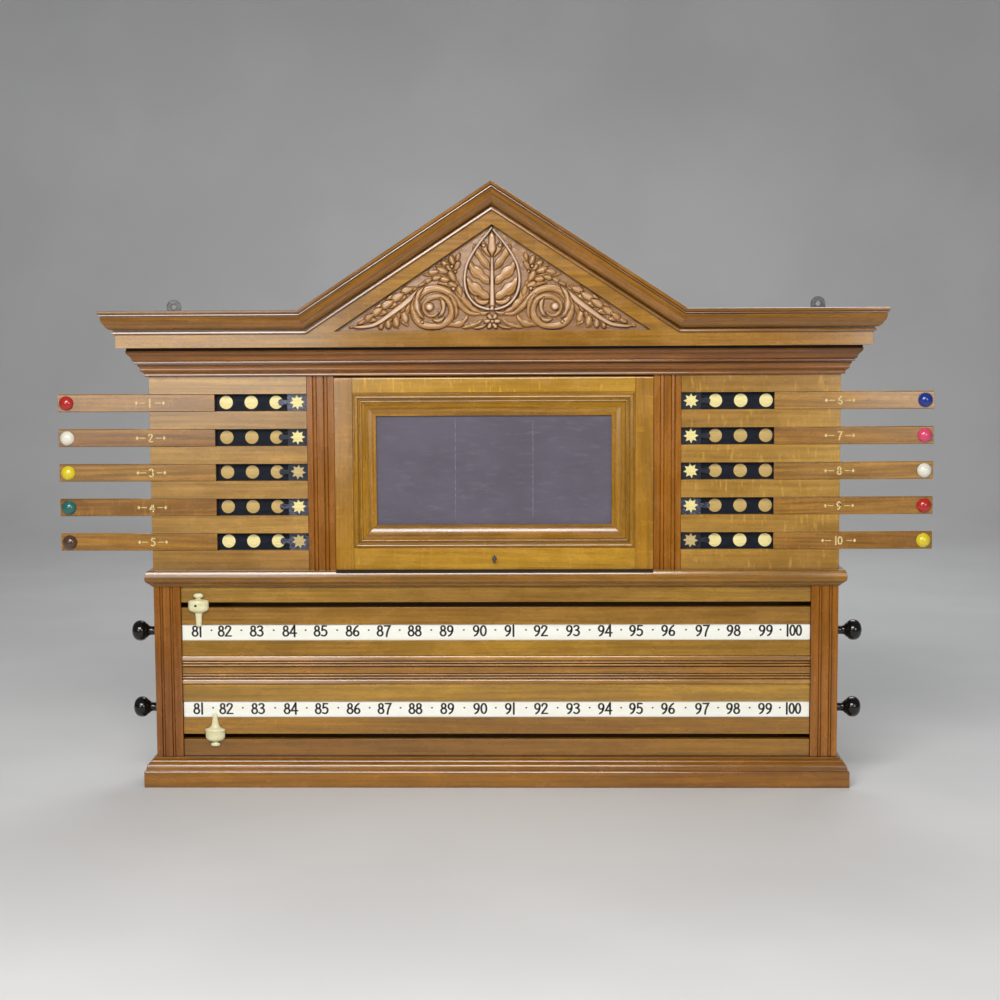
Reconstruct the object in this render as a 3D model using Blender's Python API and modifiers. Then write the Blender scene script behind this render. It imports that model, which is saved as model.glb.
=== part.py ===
"""Oak billiard scoreboard: ten sliding life bars, a slate flap and two number rollers.

Metres, +Z up, front towards -Y. The origin is at floor level, in the middle of the outer box.
"""

import math

import bmesh
import bpy
from mathutils import Vector

# Clearances
GAP = 0.0003  # between pieces that are fixed to each other
SLIDE_GAP = 0.0004  # beside a piece that slides
LAYER_GAP = 0.0005  # between layers that slide over each other
OVERRUN = 0.002  # how far a cut runs past the wall it opens
MERGE_DISTANCE = GAP / 100

# Case, from the floor up
CASE_WIDTH = 1.020
CASE_DEPTH = 0.090
PLINTH_HEIGHT = 0.0441
SCORE_HEIGHT = 0.2580
WAIST_HEIGHT = 0.0235
LIFE_HEIGHT = 0.2895
BED_HEIGHT = 0.0430
BAND_HEIGHT = 0.0190
SIDE_THICKNESS = 0.016
BACK_THICKNESS = 0.008
BACK_RISE = 0.030  # back board above the frieze band
BACK_FOOT = 0.012  # back board above the floor
TOP_THICKNESS = 0.012
BOTTOM_THICKNESS = 0.019
PARTITION_THICKNESS = 0.016

# Pediment
BAND_PROJECTION = 0.043
BAND_OVERHANG = 0.039  # frieze band beyond the side of the case
FRIEZE_THICKNESS = 0.020
CROWN_HEIGHT = 0.035
CROWN_PROJECTION = 0.021  # in front of the frieze band
VALLEY_HALF_WIDTH = 0.265
RAKE_ANGLE = math.radians(33.6)
PANEL_BASE = 0.023  # band under the carved panel
PANEL_BORDER = 0.0165  # band beside the carved panel
PANEL_SINK = 0.012
PANEL_THICKNESS = 0.004

# Planted mouldings: how far each stands out from the case
BED_PROJECTION = 0.029
WAIST_PROJECTION = 0.0085
PLINTH_PROJECTION = 0.017
ARC_STEPS = 5

# Carving in the pediment: its forms are shares of the panel's height, so that they fill it
RELIEF_HEIGHT = 0.0055
LEAF_RISE_SHARE = 0.195  # bottom of the pointed oval above the panel's edge
LEAF_HEIGHT_SHARE = 0.770
LEAF_HALF_WIDTH_SHARE = 0.262
LEAF_RIM_SHARE = 0.024
LEAF_TIP_RIMS_SHARE = 0.092  # what the rim takes of the height, at foot and tip together
SCROLL_CENTRE_SHARE = 0.590  # from the middle of the panel
SCROLL_RISE_SHARE = 0.226
SCROLL_RADIUS_SHARE = 0.190
SCROLL_EYE_SHARE = 0.030
SCROLL_STEM_SHARE = 0.018
SCROLL_TURNS = 1.6
SCROLL_START = math.radians(-45)
FROND_START_SHARE = 0.760  # from the middle of the panel
FROND_RISE_SHARE = 0.245
FROND_LENGTH_SHARE = 0.600
FROND_TILT = math.radians(19)

# Life bars and what they slide in
BAR_ROWS = 5
BAR_PITCH = 0.0518
BAR_FIRST = 0.0388  # first bar's middle below the top of the case
BAR_LENGTH = 0.2335
BAR_DRAW = 0.1365  # how far a bar stands out at rest, and its travel
BAR_HEIGHT = 0.0247
BAR_THICKNESS = 0.008
TONGUE_FRONT = 0.0035
TONGUE_THICKNESS = 0.0028
TONGUE_HEIGHT = 0.0012
BUTTON_DIAMETER = 0.0216
BUTTON_RISE = 0.0075
BUTTON_INSET = 0.013  # button's middle from the bar's outer end
CHANNEL_FLOOR = 0.008  # wood behind the channels
DISC_DIAMETER = 0.020
DISC_FIRST = 0.049  # first disc's middle from the pilaster
DISC_PITCH = 0.03725
DISC_RISE = 0.0002
DISCS = 3

# Star tablets
TABLET_WIDTH = 0.030
TABLET_THICKNESS = 0.0019
TABLET_EDGE = 0.0012  # how far it runs in its rebates, above and below
NECK_LENGTH = 0.0085
NECK_HEIGHT = 0.0065
NIB_DIAMETER = 0.0095
STAR_DIAMETER = 0.0225
STAR_WAIST_SHARE = 0.42
STAR_POINTS = 8
STAR_RISE = 0.0002

# Pilasters
PILASTER_WIDTH = 0.040
UPPER_LAP = 0.008  # thickness where a pilaster laps the board beside it
LOWER_LAP = 0.0057
UPPER_LEG = 0.0037  # width of the full-depth strip beside the door
LOWER_LEG_DEPTH = 0.0106
REED_DEPTH = 0.0016

# Flap door
DOOR_WIDTH = 0.471
DOOR_SIDE_GAP = 0.0005
DOOR_TOP_GAP = 0.0012
DOOR_FOOT_GAP = 0.0013
DOOR_PROUD = 0.002
DOOR_THICKNESS = 0.019
STILE_WIDTH = 0.027
TOP_RAIL_WIDTH = 0.0237
FOOT_RAIL_WIDTH = 0.0325
DOOR_EDGE_RADIUS = 0.004
MOULDING_WIDTH = 0.0345
MOULDING_PROUD = 0.0025  # above the face of the door frame
SLATE_SINK = 0.008  # slate's face behind the face of the door frame
SLATE_THICKNESS = 0.006
SLATE_REBATE = 0.0055
PIVOT_DIAMETER = 0.004
PIVOT_DEPTH = 0.006  # pivot behind the door's face
PIVOT_DROP = 0.009  # pivot below the door's top
PIVOT_IN_DOOR = 0.0075
PIVOT_IN_PILASTER = 0.0085
PULL_RING_DIAMETER = 0.0105
PULL_WIRE = 0.0022
PULL_SHANK = 0.0035
PULL_PLATE_DIAMETER = 0.007
PULL_DROP = 0.0165  # ring's middle above the door's foot

# Score boards and rollers
SCORE_SINK = 0.003  # face of the score boards behind the pilasters
SCORE_THICKNESS = 0.011
SLOT_HEIGHT = 0.0077
SLOT_DROP = 0.0284  # slot's middle below the waist moulding
WINDOW_HEIGHT = 0.0244
WINDOW_DROP = 0.0704  # window's middle below the waist moulding
LOWER_SLOT_RISE = 0.0297  # above the plinth
LOWER_WINDOW_RISE = 0.0708
RAIL_HEIGHT = 0.0427
RAIL_DROP = 0.1060  # top of the reeded rail below the waist moulding
RAIL_PROUD = 0.001
RAIL_THICKNESS = 0.010
RAIL_REED_DEPTH = 0.0028
STRIP_SINK = 0.0027  # strip's face behind the score boards
STRIP_THICKNESS = 0.0008
STRIP_WIDTH = 0.0246
ROLLER_APOTHEM = 0.0178
ROLLER_FACES = 5
ROLLER_END_GAP = 0.0007
ROLLER_CLEARANCE = 0.0005
SPINDLE_DIAMETER = 0.008
SPINDLE_END = 0.008  # spindle inside the knob
SPINDLE_GAP = 0.0004
KNOB_LENGTH = 0.038
KNOB_DIAMETER = 0.031
KNOB_STANDOFF = 0.0006

# Pointers
POINTER_WIDTH = 0.031
POINTER_LENGTH = 0.0508
POINTER_STANDOFF = 0.0008  # clear of the boards, and of a roller's corners as it turns
POINTER_FLATNESS_SHARE = 0.58
POINTER_SLIDER_HEIGHT = 0.014
POINTER_SLIDER_WIDTH = 0.016
POINTER_SLIDER_THICKNESS = 0.0025
UPPER_POINTER_INSET = 0.0266  # pointer's middle from the pilaster at rest
LOWER_POINTER_INSET = 0.0481
UPPER_POINTER_HEAD_SHARE = 0.39  # length above the slot's middle
LOWER_POINTER_HEAD_SHARE = 0.29  # length below the slot's middle

# Hanging plates
PLATE_INSET = 0.0225  # plate's middle from the side of the case
PLATE_WIDTH = 0.022
PLATE_HEIGHT = 0.054
PLATE_RISE = 0.017  # above the crown moulding
PLATE_THICKNESS = 0.0015
PLATE_HOLE = 0.007

# Roundness
ROUND_STEPS = 20
SMALL_STEPS = 14
DISC_STEPS = 14
SMALL_ARC_STEPS = 3
FLAT_ANGLE = math.radians(0.1)

# Places that follow from the sizes above
HALF_WIDTH = CASE_WIDTH / 2
FRONT_Y = (BAND_PROJECTION + CROWN_PROJECTION - CASE_DEPTH) / 2
BACK_Y = FRONT_Y + CASE_DEPTH
INNER_BACK_Y = BACK_Y - BACK_THICKNESS - GAP
PLINTH_TOP = PLINTH_HEIGHT
WAIST_BOTTOM = PLINTH_TOP + SCORE_HEIGHT
WAIST_TOP = WAIST_BOTTOM + WAIST_HEIGHT
CASE_TOP = WAIST_TOP + LIFE_HEIGHT
BED_TOP = CASE_TOP + BED_HEIGHT
BAND_TOP = BED_TOP + BAND_HEIGHT
CROWN_TOP = BAND_TOP + CROWN_HEIGHT
INSIDE_X = HALF_WIDTH - SIDE_THICKNESS
CHANNEL_DEPTH = BAR_THICKNESS + TABLET_THICKNESS + 2 * LAYER_GAP
LIFE_BACK_Y = FRONT_Y + CHANNEL_DEPTH + CHANNEL_FLOOR
DOOR_OPENING_X = DOOR_WIDTH / 2 + DOOR_SIDE_GAP
WINDOW_START_X = DOOR_OPENING_X + PILASTER_WIDTH
LOWER_PILASTER_X = HALF_WIDTH - PILASTER_WIDTH
LOWER_LEG_X = INSIDE_X
DOOR_TOP = CASE_TOP - DOOR_TOP_GAP
DOOR_FOOT = WAIST_TOP + DOOR_FOOT_GAP
DOOR_FACE_Y = FRONT_Y - DOOR_PROUD
PIVOT_Y = DOOR_FACE_Y + PIVOT_DEPTH
PIVOT_Z = DOOR_TOP - PIVOT_DROP
SCORE_FACE_Y = FRONT_Y + SCORE_SINK
SCORE_BACK_Y = SCORE_FACE_Y + SCORE_THICKNESS
ROLLER_Y = SCORE_FACE_Y + STRIP_SINK + STRIP_THICKNESS + ROLLER_APOTHEM
UPPER_ROLLER_Z = WAIST_BOTTOM - WINDOW_DROP
LOWER_ROLLER_Z = PLINTH_TOP + LOWER_WINDOW_RISE
UPPER_SLOT_Z = WAIST_BOTTOM - SLOT_DROP
LOWER_SLOT_Z = PLINTH_TOP + LOWER_SLOT_RISE
RAIL_TOP = WAIST_BOTTOM - RAIL_DROP
RAIL_BOTTOM = RAIL_TOP - RAIL_HEIGHT
FRIEZE_X = HALF_WIDTH + BAND_OVERHANG
FRIEZE_Y = FRONT_Y - BAND_PROJECTION
PLATE_X = HALF_WIDTH - PLATE_INSET
UPPER_POINTER_X = UPPER_POINTER_INSET - LOWER_PILASTER_X
LOWER_POINTER_X = LOWER_POINTER_INSET - LOWER_PILASTER_X

# The mouldings, from the wall side at the bottom round the front to the top: each row is the
# share of the projection, the share of the height, and the bulge of the curve that leads there.
BED_SHARES = (
    (0.02, 0.0, 0), (0.13, 0.0, 0), (0.17, 0.075, 0.45), (0.17, 0.09, 0), (0.31, 0.175, -0.2),
    (0.31, 0.19, 0), (0.37, 0.265, 0.45), (0.37, 0.285, 0), (0.47, 0.385, -0.2),
    (0.49, 0.40, 0), (0.49, 0.46, 0), (0.59, 0.46, 0), (0.59, 0.55, 0), (0.68, 0.56, 0),
    (0.84, 0.74, -0.18), (0.96, 0.90, 0.22), (1.0, 0.93, 0), (1.0, 0.993, 0), (0.02, 0.993, 0),
)
WAIST_SHARES = (
    (0.05, 0.0, 0), (0.25, 0.0, 0), (0.25, 0.10, 0), (0.70, 0.42, -0.25), (0.86, 0.44, 0),
    (0.86, 0.50, 0), (1.0, 0.56, 0.15), (1.0, 0.80, 0.12), (0.86, 0.86, 0.15),
    (0.86, 0.97, 0), (0.80, 1.0, 0), (0.05, 1.0, 0),
)
PLINTH_SHARES = (
    (0.02, 0.0, 0), (1.0, 0.0, 0), (1.0, 0.53, 0), (0.96, 0.56, 0), (0.84, 0.56, 0),
    (0.82, 0.66, -0.1), (0.64, 0.81, 0.2), (0.62, 0.82, 0), (0.48, 0.88, -0.2),
    (0.46, 0.90, 0), (0.24, 0.945, 0), (0.24, 1.0, 0), (0.02, 1.0, 0),
)
CROWN_SHARES = (
    (0.015, 0.0, 0), (0.14, 0.0, 0), (0.14, 0.13, 0.45), (0.10, 0.16, 0), (0.10, 0.20, 0),
    (0.22, 0.21, 0), (0.52, 0.47, 0.2), (0.80, 0.74, -0.2), (0.80, 0.79, 0),
    (0.90, 0.80, 0), (0.90, 0.84, 0), (1.0, 0.85, 0), (1.0, 1.0, 0), (0.015, 1.0, 0),
)
# The slate moulding: share of the way in from the door frame, share of the depth up from the
# slate, and bulge.
SLATE_MOULDING_SHARES = (
    (0.01, 0.03, 0), (0.01, 0.76, 0), (0.05, 0.76, 0), (0.07, 0.90, 0.3), (0.23, 0.90, 0.42),
    (0.25, 0.72, 0), (0.30, 0.72, 0), (0.31, 0.80, 0.3), (0.39, 0.80, 0.42), (0.41, 0.68, 0),
    (0.53, 0.66, 0), (0.55, 0.60, 0), (0.87, 0.30, -0.12), (0.89, 0.34, 0), (1.0, 0.34, 0),
    (1.0, 0.03, 0),
)
# The reeds, outer edge first: width shares of flats and of the sunk beads between them
UPPER_REED_SHARES = (0.20, 0.17, 0.235, 0.17, 0.225)
LOWER_REED_SHARES = (0.215, 0.12, 0.26, 0.12, 0.285)
# The reeded rail from its top edge: the kind of each band and its share of the height
RAIL_BAND_SHARES = (
    ("bead", 0.17), ("sunk", 0.12), ("bead", 0.10), ("flat", 0.22), ("bead", 0.10),
    ("sunk", 0.12), ("bead", 0.17),
)
# The knob from its outer end to its flange: radius share, length share, bulge
KNOB_SHARES = (
    (0.0, 1.0, 0), (0.42, 0.985, 0), (0.99, 0.72, 0.20), (0.86, 0.49, 0.12),
    (0.60, 0.38, 0), (0.44, 0.30, -0.12), (0.43, 0.06, 0), (0.56, 0.05, 0), (0.56, 0.0, 0),
)
# The pointers from the knop at the head to the tip: radius share, length share from the head
UPPER_POINTER_SHARES = (
    (0.0, 0.0, 0), (0.34, 0.0, 0), (0.44, 0.06, 0), (0.36, 0.13, 0), (0.52, 0.18, 0),
    (0.94, 0.22, 0.1), (1.0, 0.28, 0), (1.0, 0.45, 0), (0.90, 0.51, 0.1), (0.55, 0.575, 0.05),
    (0.34, 0.60, 0), (0.25, 0.97, 0), (0.18, 1.0, 0), (0.0, 1.0, 0),
)
LOWER_POINTER_SHARES = (
    (0.0, 0.0, 0), (0.38, 0.0, 0), (0.46, 0.05, 0), (0.26, 0.10, 0), (0.30, 0.14, 0),
    (0.68, 0.17, 0), (0.94, 0.26, 0.12), (0.95, 0.46, 0), (1.0, 0.48, 0), (1.0, 0.51, 0),
    (0.42, 0.60, -0.15), (0.33, 0.66, 0), (0.18, 0.97, 0), (0.10, 1.0, 0), (0.0, 1.0, 0),
)
# Half of the pointed oval from its foot to its tip: width share, height share
LEAF_SHARES = ((0.0, 0.0, 0), (1.0, 0.40, 0.22), (0.0, 1.0, 0.10))
# Half a frond, stem to tip: width share of the length, length share
FROND_SHARES = (
    (0.03, 0.0), (0.09, 0.12), (0.07, 0.24), (0.11, 0.36), (0.08, 0.50), (0.10, 0.60),
    (0.06, 0.74), (0.0, 1.0),
)
# A finger button from its crown to its foot inside the bar: radius share, rise share, bulge
BUTTON_SHARES = (
    (0.0, 1.0, 0), (0.64, 0.62, 0.2), (0.68, 0.36, 0), (1.0, 0.28, 0.25), (1.0, 0.0, 0),
    (0.97, -0.3, 0), (0.0, -0.3, 0),
)

# Colours: red, green, blue, roughness, metallic
OAK = (0.36, 0.20, 0.075, 0.42, 0)
DARK_OAK = (0.24, 0.12, 0.045, 0.45, 0)
CARVED_OAK = (0.40, 0.21, 0.085, 0.38, 0)
SLATE_GREY = (0.10, 0.095, 0.105, 0.75, 0)
IVORY = (0.80, 0.74, 0.58, 0.35, 0)
EBONY = (0.012, 0.011, 0.011, 0.18, 0)
BRASS = (0.50, 0.36, 0.14, 0.30, 1)
STEEL = (0.30, 0.30, 0.30, 0.45, 1)
BLACKENED = (0.02, 0.024, 0.032, 0.5, 0)


def clear_scene():
    for obj in list(bpy.data.objects):
        bpy.data.objects.remove(obj)


def new_collection(name):
    collection = bpy.data.collections.new(name)
    bpy.context.scene.collection.children.link(collection)
    return collection


def material_for(name, colour):
    red, green, blue, roughness, metallic = colour
    material = bpy.data.materials.new(name)
    material.use_nodes = True
    shader = material.node_tree.nodes["Principled BSDF"]
    shader.inputs["Base Color"].default_value = (red, green, blue, 1)
    shader.inputs["Roughness"].default_value = roughness
    shader.inputs["Metallic"].default_value = metallic
    return material


def add(name, mesh, colour, collection):
    """The mesh as a named object with a material of its own."""
    obj = bpy.data.objects.new(name, mesh)
    collection.objects.link(obj)
    mesh.materials.clear()
    mesh.materials.append(material_for(name, colour))
    return obj


def make_helper(obj):
    """A piece that only cuts or joins: kept out of the render and of the parts."""
    obj.hide_render = True
    obj.display_type = "WIRE"
    return obj


def combine(target, helpers, operation, solver="EXACT"):
    """Cuts or joins. MANIFOLD is for sections whose end caps EXACT leaves open."""
    for helper in helpers:
        modifier = target.modifiers.new(helper.name, "BOOLEAN")
        modifier.operation = operation
        modifier.solver = solver
        modifier.object = helper


def weld(mesh):
    """Joins a converted curve's caps to its sides, and makes each flat side one face."""
    form = bmesh.new()
    form.from_mesh(mesh)
    bmesh.ops.remove_doubles(form, verts=form.verts, dist=MERGE_DISTANCE)
    bmesh.ops.dissolve_limit(form, angle_limit=FLAT_ANGLE, verts=form.verts, edges=form.edges)
    bmesh.ops.recalc_face_normals(form, faces=form.faces)
    form.to_mesh(mesh)
    form.free()


def block(name, low, high, colour, collection):
    """A board between two corners."""
    low = Vector(low)
    high = Vector(high)
    form = bmesh.new()
    bmesh.ops.create_cube(form, size=1)
    bmesh.ops.scale(form, vec=high - low, verts=form.verts)
    mesh = bpy.data.meshes.new(name)
    form.to_mesh(mesh)
    form.free()
    obj = add(name, mesh, colour, collection)
    obj.location = (low + high) / 2
    return obj


# How an outline drawn in a plane stands in the object, by the axis it is pushed along
STANDING = {
    "X": (math.pi / 2, 0, math.pi / 2),
    "Y": (math.pi / 2, 0, 0),
    "Z": (0, 0, 0),
}


def along(axis, distance):
    return Vector([distance if letter == axis else 0 for letter in "XYZ"])


def prism(name, outlines, axis, low, high, colour, collection, origin=(0, 0, 0)):
    """A flat outline, with any holes, pushed along X, Y or Z from low to high."""
    curve = bpy.data.curves.new(name, "CURVE")
    curve.dimensions = "2D"
    curve.fill_mode = "BOTH"
    curve.extrude = (high - low) / 2
    for outline in outlines:
        spline = curve.splines.new("POLY")
        spline.points.add(len(outline) - 1)
        for point, (across, up) in zip(spline.points, outline):
            point.co = (across, up, 0, 1)
        spline.use_cyclic_u = True
    guide = bpy.data.objects.new(name + "_outline", curve)
    collection.objects.link(guide)
    graph = bpy.context.evaluated_depsgraph_get()
    mesh = bpy.data.meshes.new_from_object(guide.evaluated_get(graph))
    bpy.data.objects.remove(guide)
    weld(mesh)
    obj = add(name, mesh, colour, collection)
    obj.rotation_euler = STANDING[axis]
    obj.location = Vector(origin) + along(axis, (low + high) / 2)
    return obj


def turned(name, profile, colour, collection, steps=ROUND_STEPS):
    """A profile of (radius, height) points, top to bottom, turned about Z."""
    mesh = bpy.data.meshes.new(name)
    points = [(radius, 0, height) for radius, height in profile]
    mesh.from_pydata(points, [(i, i + 1) for i in range(len(points) - 1)], [])
    obj = add(name, mesh, colour, collection)
    screw = obj.modifiers.new("Turning", "SCREW")
    screw.steps = steps
    screw.render_steps = steps
    screw.use_merge_vertices = True
    screw.merge_threshold = MERGE_DISTANCE
    screw.use_smooth_shade = True
    return obj


def rounded_line(rows, width, height, steps=ARC_STEPS):
    """Points from rows of (width share, height share, bulge): a bulge curves the way there."""
    points = []
    for across_share, up_share, bulge in rows:
        end = Vector((across_share * width, up_share * height))
        if bulge and points:
            start = points[-1]
            side = Vector((end.y - start.y, start.x - end.x)) * bulge
            for step in range(1, steps):
                part = step / steps
                points.append(start.lerp(end, part) + side * 4 * part * (1 - part) / 2)
        points.append(end)
    return points


def circle(centre, diameter, steps):
    return [
        (
            centre[0] + diameter / 2 * math.cos(math.tau * i / steps),
            centre[1] + diameter / 2 * math.sin(math.tau * i / steps),
        )
        for i in range(steps)
    ]


def rectangle(left, right, bottom, top):
    return [(left, bottom), (right, bottom), (right, top), (left, top)]


def mitred_run(name, section, corners, facings, colour, collection, closed=False):
    """A moulding whose section follows the corners and is mitred at each of them.

    A facing is the way out from the wall, one for each stretch between corners.
    """
    corners = [Vector(corner) for corner in corners]
    count = len(facings)
    runs = [
        (corners[(i + 1) % len(corners)] - corners[i]).normalized() for i in range(count)
    ]
    form = bmesh.new()
    rings = []
    for i, corner in enumerate(corners):
        before = runs[i - 1] if closed or i else runs[0]
        after = runs[i] if i < count else runs[-1]
        stretch = min(i, count - 1)
        run = runs[stretch]
        facing = Vector(facings[stretch])
        up = facing.cross(run)
        across = (before + after).normalized()
        ring = []
        for out, rise in section:
            point = facing * out + up * rise
            slide = point.dot(across) / run.dot(across)
            ring.append(form.verts.new(corner + point - run * slide))
        rings.append(ring)
    pairs = list(zip(rings, rings[1:]))
    if closed:
        pairs.append((rings[-1], rings[0]))
    size = len(section)
    for first, second in pairs:
        for i in range(size):
            j = (i + 1) % size
            form.faces.new((first[i], first[j], second[j], second[i]))
    if not closed:
        form.faces.new(rings[0])
        form.faces.new(rings[-1])
    bmesh.ops.recalc_face_normals(form, faces=form.faces)
    mesh = bpy.data.meshes.new(name)
    form.to_mesh(mesh)
    form.free()
    return add(name, mesh, colour, collection)


def joint_group(name, location, members, collection):
    """An empty on a joint's axis that carries the pieces which move with it."""
    empty = bpy.data.objects.new(name, None)
    empty.location = location
    collection.objects.link(empty)
    bpy.context.view_layer.update()
    for member in members:
        member.parent = empty
        member.matrix_parent_inverse = empty.matrix_world.inverted()


def bar_heights():
    return [CASE_TOP - BAR_FIRST - row * BAR_PITCH for row in range(BAR_ROWS)]


def make_case(parts, cutters):
    bearing = SPINDLE_DIAMETER + 2 * SPINDLE_GAP
    life_edge = LIFE_BACK_Y + GAP
    score_edge = FRONT_Y + LOWER_LEG_DEPTH + GAP
    side = [
        (score_edge, 0),
        (BACK_Y, 0),
        (BACK_Y, BED_TOP - GAP),
        (life_edge, BED_TOP - GAP),
        (life_edge, WAIST_BOTTOM),
        (score_edge, WAIST_BOTTOM),
    ]
    holes = [
        circle((ROLLER_Y, height), bearing, SMALL_STEPS)
        for height in (UPPER_ROLLER_Z, LOWER_ROLLER_Z)
    ]
    prism("case_side_left", [side, *holes], "X", -HALF_WIDTH, -INSIDE_X, OAK, parts)
    prism("case_side_right", [side, *holes], "X", INSIDE_X, HALF_WIDTH, OAK, parts)

    inner = INSIDE_X - GAP
    back = block(
        "back_board",
        (-inner, BACK_Y - BACK_THICKNESS, BACK_FOOT),
        (inner, BACK_Y, BAND_TOP + BACK_RISE),
        DARK_OAK,
        parts,
    )
    plate_foot = CROWN_TOP + PLATE_RISE - PLATE_HEIGHT
    recesses = []
    for side_name, middle in (("left", -PLATE_X), ("right", PLATE_X)):
        recess = block(
            f"plate_recess_{side_name}",
            (middle - PLATE_WIDTH / 2 - GAP, BACK_Y - PLATE_THICKNESS - GAP, plate_foot - GAP),
            (middle + PLATE_WIDTH / 2 + GAP, BACK_Y + OVERRUN, CROWN_TOP),
            DARK_OAK,
            cutters,
        )
        recesses.append(make_helper(recess))
    combine(back, recesses, "DIFFERENCE")

    block(
        "top_board",
        (-FRIEZE_X + FRIEZE_THICKNESS + GAP, FRIEZE_Y + FRIEZE_THICKNESS + GAP, BED_TOP),
        (FRIEZE_X - FRIEZE_THICKNESS - GAP, INNER_BACK_Y, BED_TOP + TOP_THICKNESS),
        DARK_OAK,
        parts,
    )
    block(
        "front_top_rail",
        (-HALF_WIDTH, FRONT_Y, CASE_TOP + GAP),
        (HALF_WIDTH, LIFE_BACK_Y, BED_TOP - GAP),
        OAK,
        parts,
    )
    shelves = (
        ("waist_shelf", WAIST_BOTTOM + GAP, WAIST_TOP - GAP, LIFE_BACK_Y),
        ("bottom_board", PLINTH_TOP - GAP - BOTTOM_THICKNESS, PLINTH_TOP - GAP,
         FRONT_Y + LOWER_LEG_DEPTH),
    )
    for name, low, high, shoulder in shelves:
        outline = [
            (-HALF_WIDTH, FRONT_Y),
            (HALF_WIDTH, FRONT_Y),
            (HALF_WIDTH, shoulder),
            (inner, shoulder),
            (inner, INNER_BACK_Y),
            (-inner, INNER_BACK_Y),
            (-inner, shoulder),
            (-HALF_WIDTH, shoulder),
        ]
        prism(name, [outline], "Z", low, high, DARK_OAK, parts)
    for name, sign in (("cupboard_side_left", -1), ("cupboard_side_right", 1)):
        near = sign * DOOR_OPENING_X
        far = sign * (DOOR_OPENING_X + PARTITION_THICKNESS)
        block(
            name,
            (min(near, far), LIFE_BACK_Y + GAP, WAIST_TOP),
            (max(near, far), INNER_BACK_Y, BED_TOP - GAP),
            DARK_OAK,
            parts,
        )


def life_board_section():
    """The grooved board seen from its end: a stepped channel for each bar and tablet."""
    opening = BAR_HEIGHT / 2 + SLIDE_GAP
    groove = opening + TONGUE_HEIGHT
    rebate = opening + TABLET_EDGE
    front = FRONT_Y
    groove_front = front + TONGUE_FRONT - SLIDE_GAP
    groove_back = front + TONGUE_FRONT + TONGUE_THICKNESS + SLIDE_GAP
    rebate_front = front + BAR_THICKNESS
    floor = front + CHANNEL_DEPTH
    half = [
        (front, opening),
        (groove_front, opening),
        (groove_front, groove),
        (groove_back, groove),
        (groove_back, opening),
        (rebate_front, opening),
        (rebate_front, rebate),
        (floor, rebate),
    ]
    section = [(LIFE_BACK_Y, WAIST_TOP), (LIFE_BACK_Y, CASE_TOP), (front, CASE_TOP)]
    for middle in bar_heights():
        section += [(depth, middle + rise) for depth, rise in half]
        section += [(depth, middle - rise) for depth, rise in reversed(half)]
    return section + [(front, WAIST_TOP)]


def make_life_boards(parts, cutters):
    lap_end = WINDOW_START_X + GAP
    inner_end = DOOR_OPENING_X + UPPER_LEG + GAP
    for name, sign in (("life_board_left", -1), ("life_board_right", 1)):
        near = sign * inner_end
        far = sign * HALF_WIDTH
        board = prism(
            name, [life_board_section()], "X", min(near, far), max(near, far), OAK, parts
        )
        lap = block(
            name + "_lap",
            (min(sign * (inner_end - OVERRUN), sign * lap_end), FRONT_Y - OVERRUN,
             WAIST_TOP - OVERRUN),
            (max(sign * (inner_end - OVERRUN), sign * lap_end), FRONT_Y + UPPER_LAP + GAP,
             CASE_TOP + OVERRUN),
            OAK,
            cutters,
        )
        combine(board, [make_helper(lap)], "DIFFERENCE", "MANIFOLD")
        floor = FRONT_Y + CHANNEL_DEPTH
        discs = [
            circle(
                (sign * (WINDOW_START_X + DISC_FIRST + number * DISC_PITCH), middle),
                DISC_DIAMETER,
                DISC_STEPS,
            )
            for middle in bar_heights()
            for number in range(DISCS)
        ]
        inlay = prism(
            name + "_discs", discs, "Y", floor - DISC_RISE, floor + CHANNEL_FLOOR / 2,
            IVORY, cutters,
        )
        combine(board, [make_helper(inlay)], "UNION", "MANIFOLD")


def button_profile():
    return rounded_line(BUTTON_SHARES, BUTTON_DIAMETER / 2, BUTTON_RISE, SMALL_ARC_STEPS)


def make_life_slides(parts, cutters):
    """Ten numbered bars with a finger button, and the ten star tablets behind them."""
    half = BAR_HEIGHT / 2
    tongue = half + TONGUE_HEIGHT - SLIDE_GAP
    tongue_back = TONGUE_FRONT + TONGUE_THICKNESS
    upper = [
        (0, half),
        (TONGUE_FRONT, half),
        (TONGUE_FRONT, tongue),
        (tongue_back, tongue),
        (tongue_back, half),
        (BAR_THICKNESS, half),
    ]
    section = upper + [(depth, -rise) for depth, rise in reversed(upper)]
    inner_end = HALF_WIDTH - BAR_LENGTH + BAR_DRAW
    outer_end = HALF_WIDTH + BAR_DRAW
    number = 0
    for sign in (-1, 1):
        for height in bar_heights():
            number += 1
            origin = (sign * (inner_end + outer_end) / 2, FRONT_Y, height)
            bar = prism(
                f"life_slide_{number}", [section], "X", -BAR_LENGTH / 2, BAR_LENGTH / 2,
                OAK, parts, origin,
            )
            button = turned(f"button_{number}", button_profile(), EBONY, cutters, SMALL_STEPS)
            button.rotation_euler = STANDING["Y"]
            button.location = (sign * (outer_end - BUTTON_INSET), FRONT_Y, height)
            combine(bar, [make_helper(button)], "UNION", "MANIFOLD")
            joint_group(f"life_slide_{number}_run", origin, [bar], parts)


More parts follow.
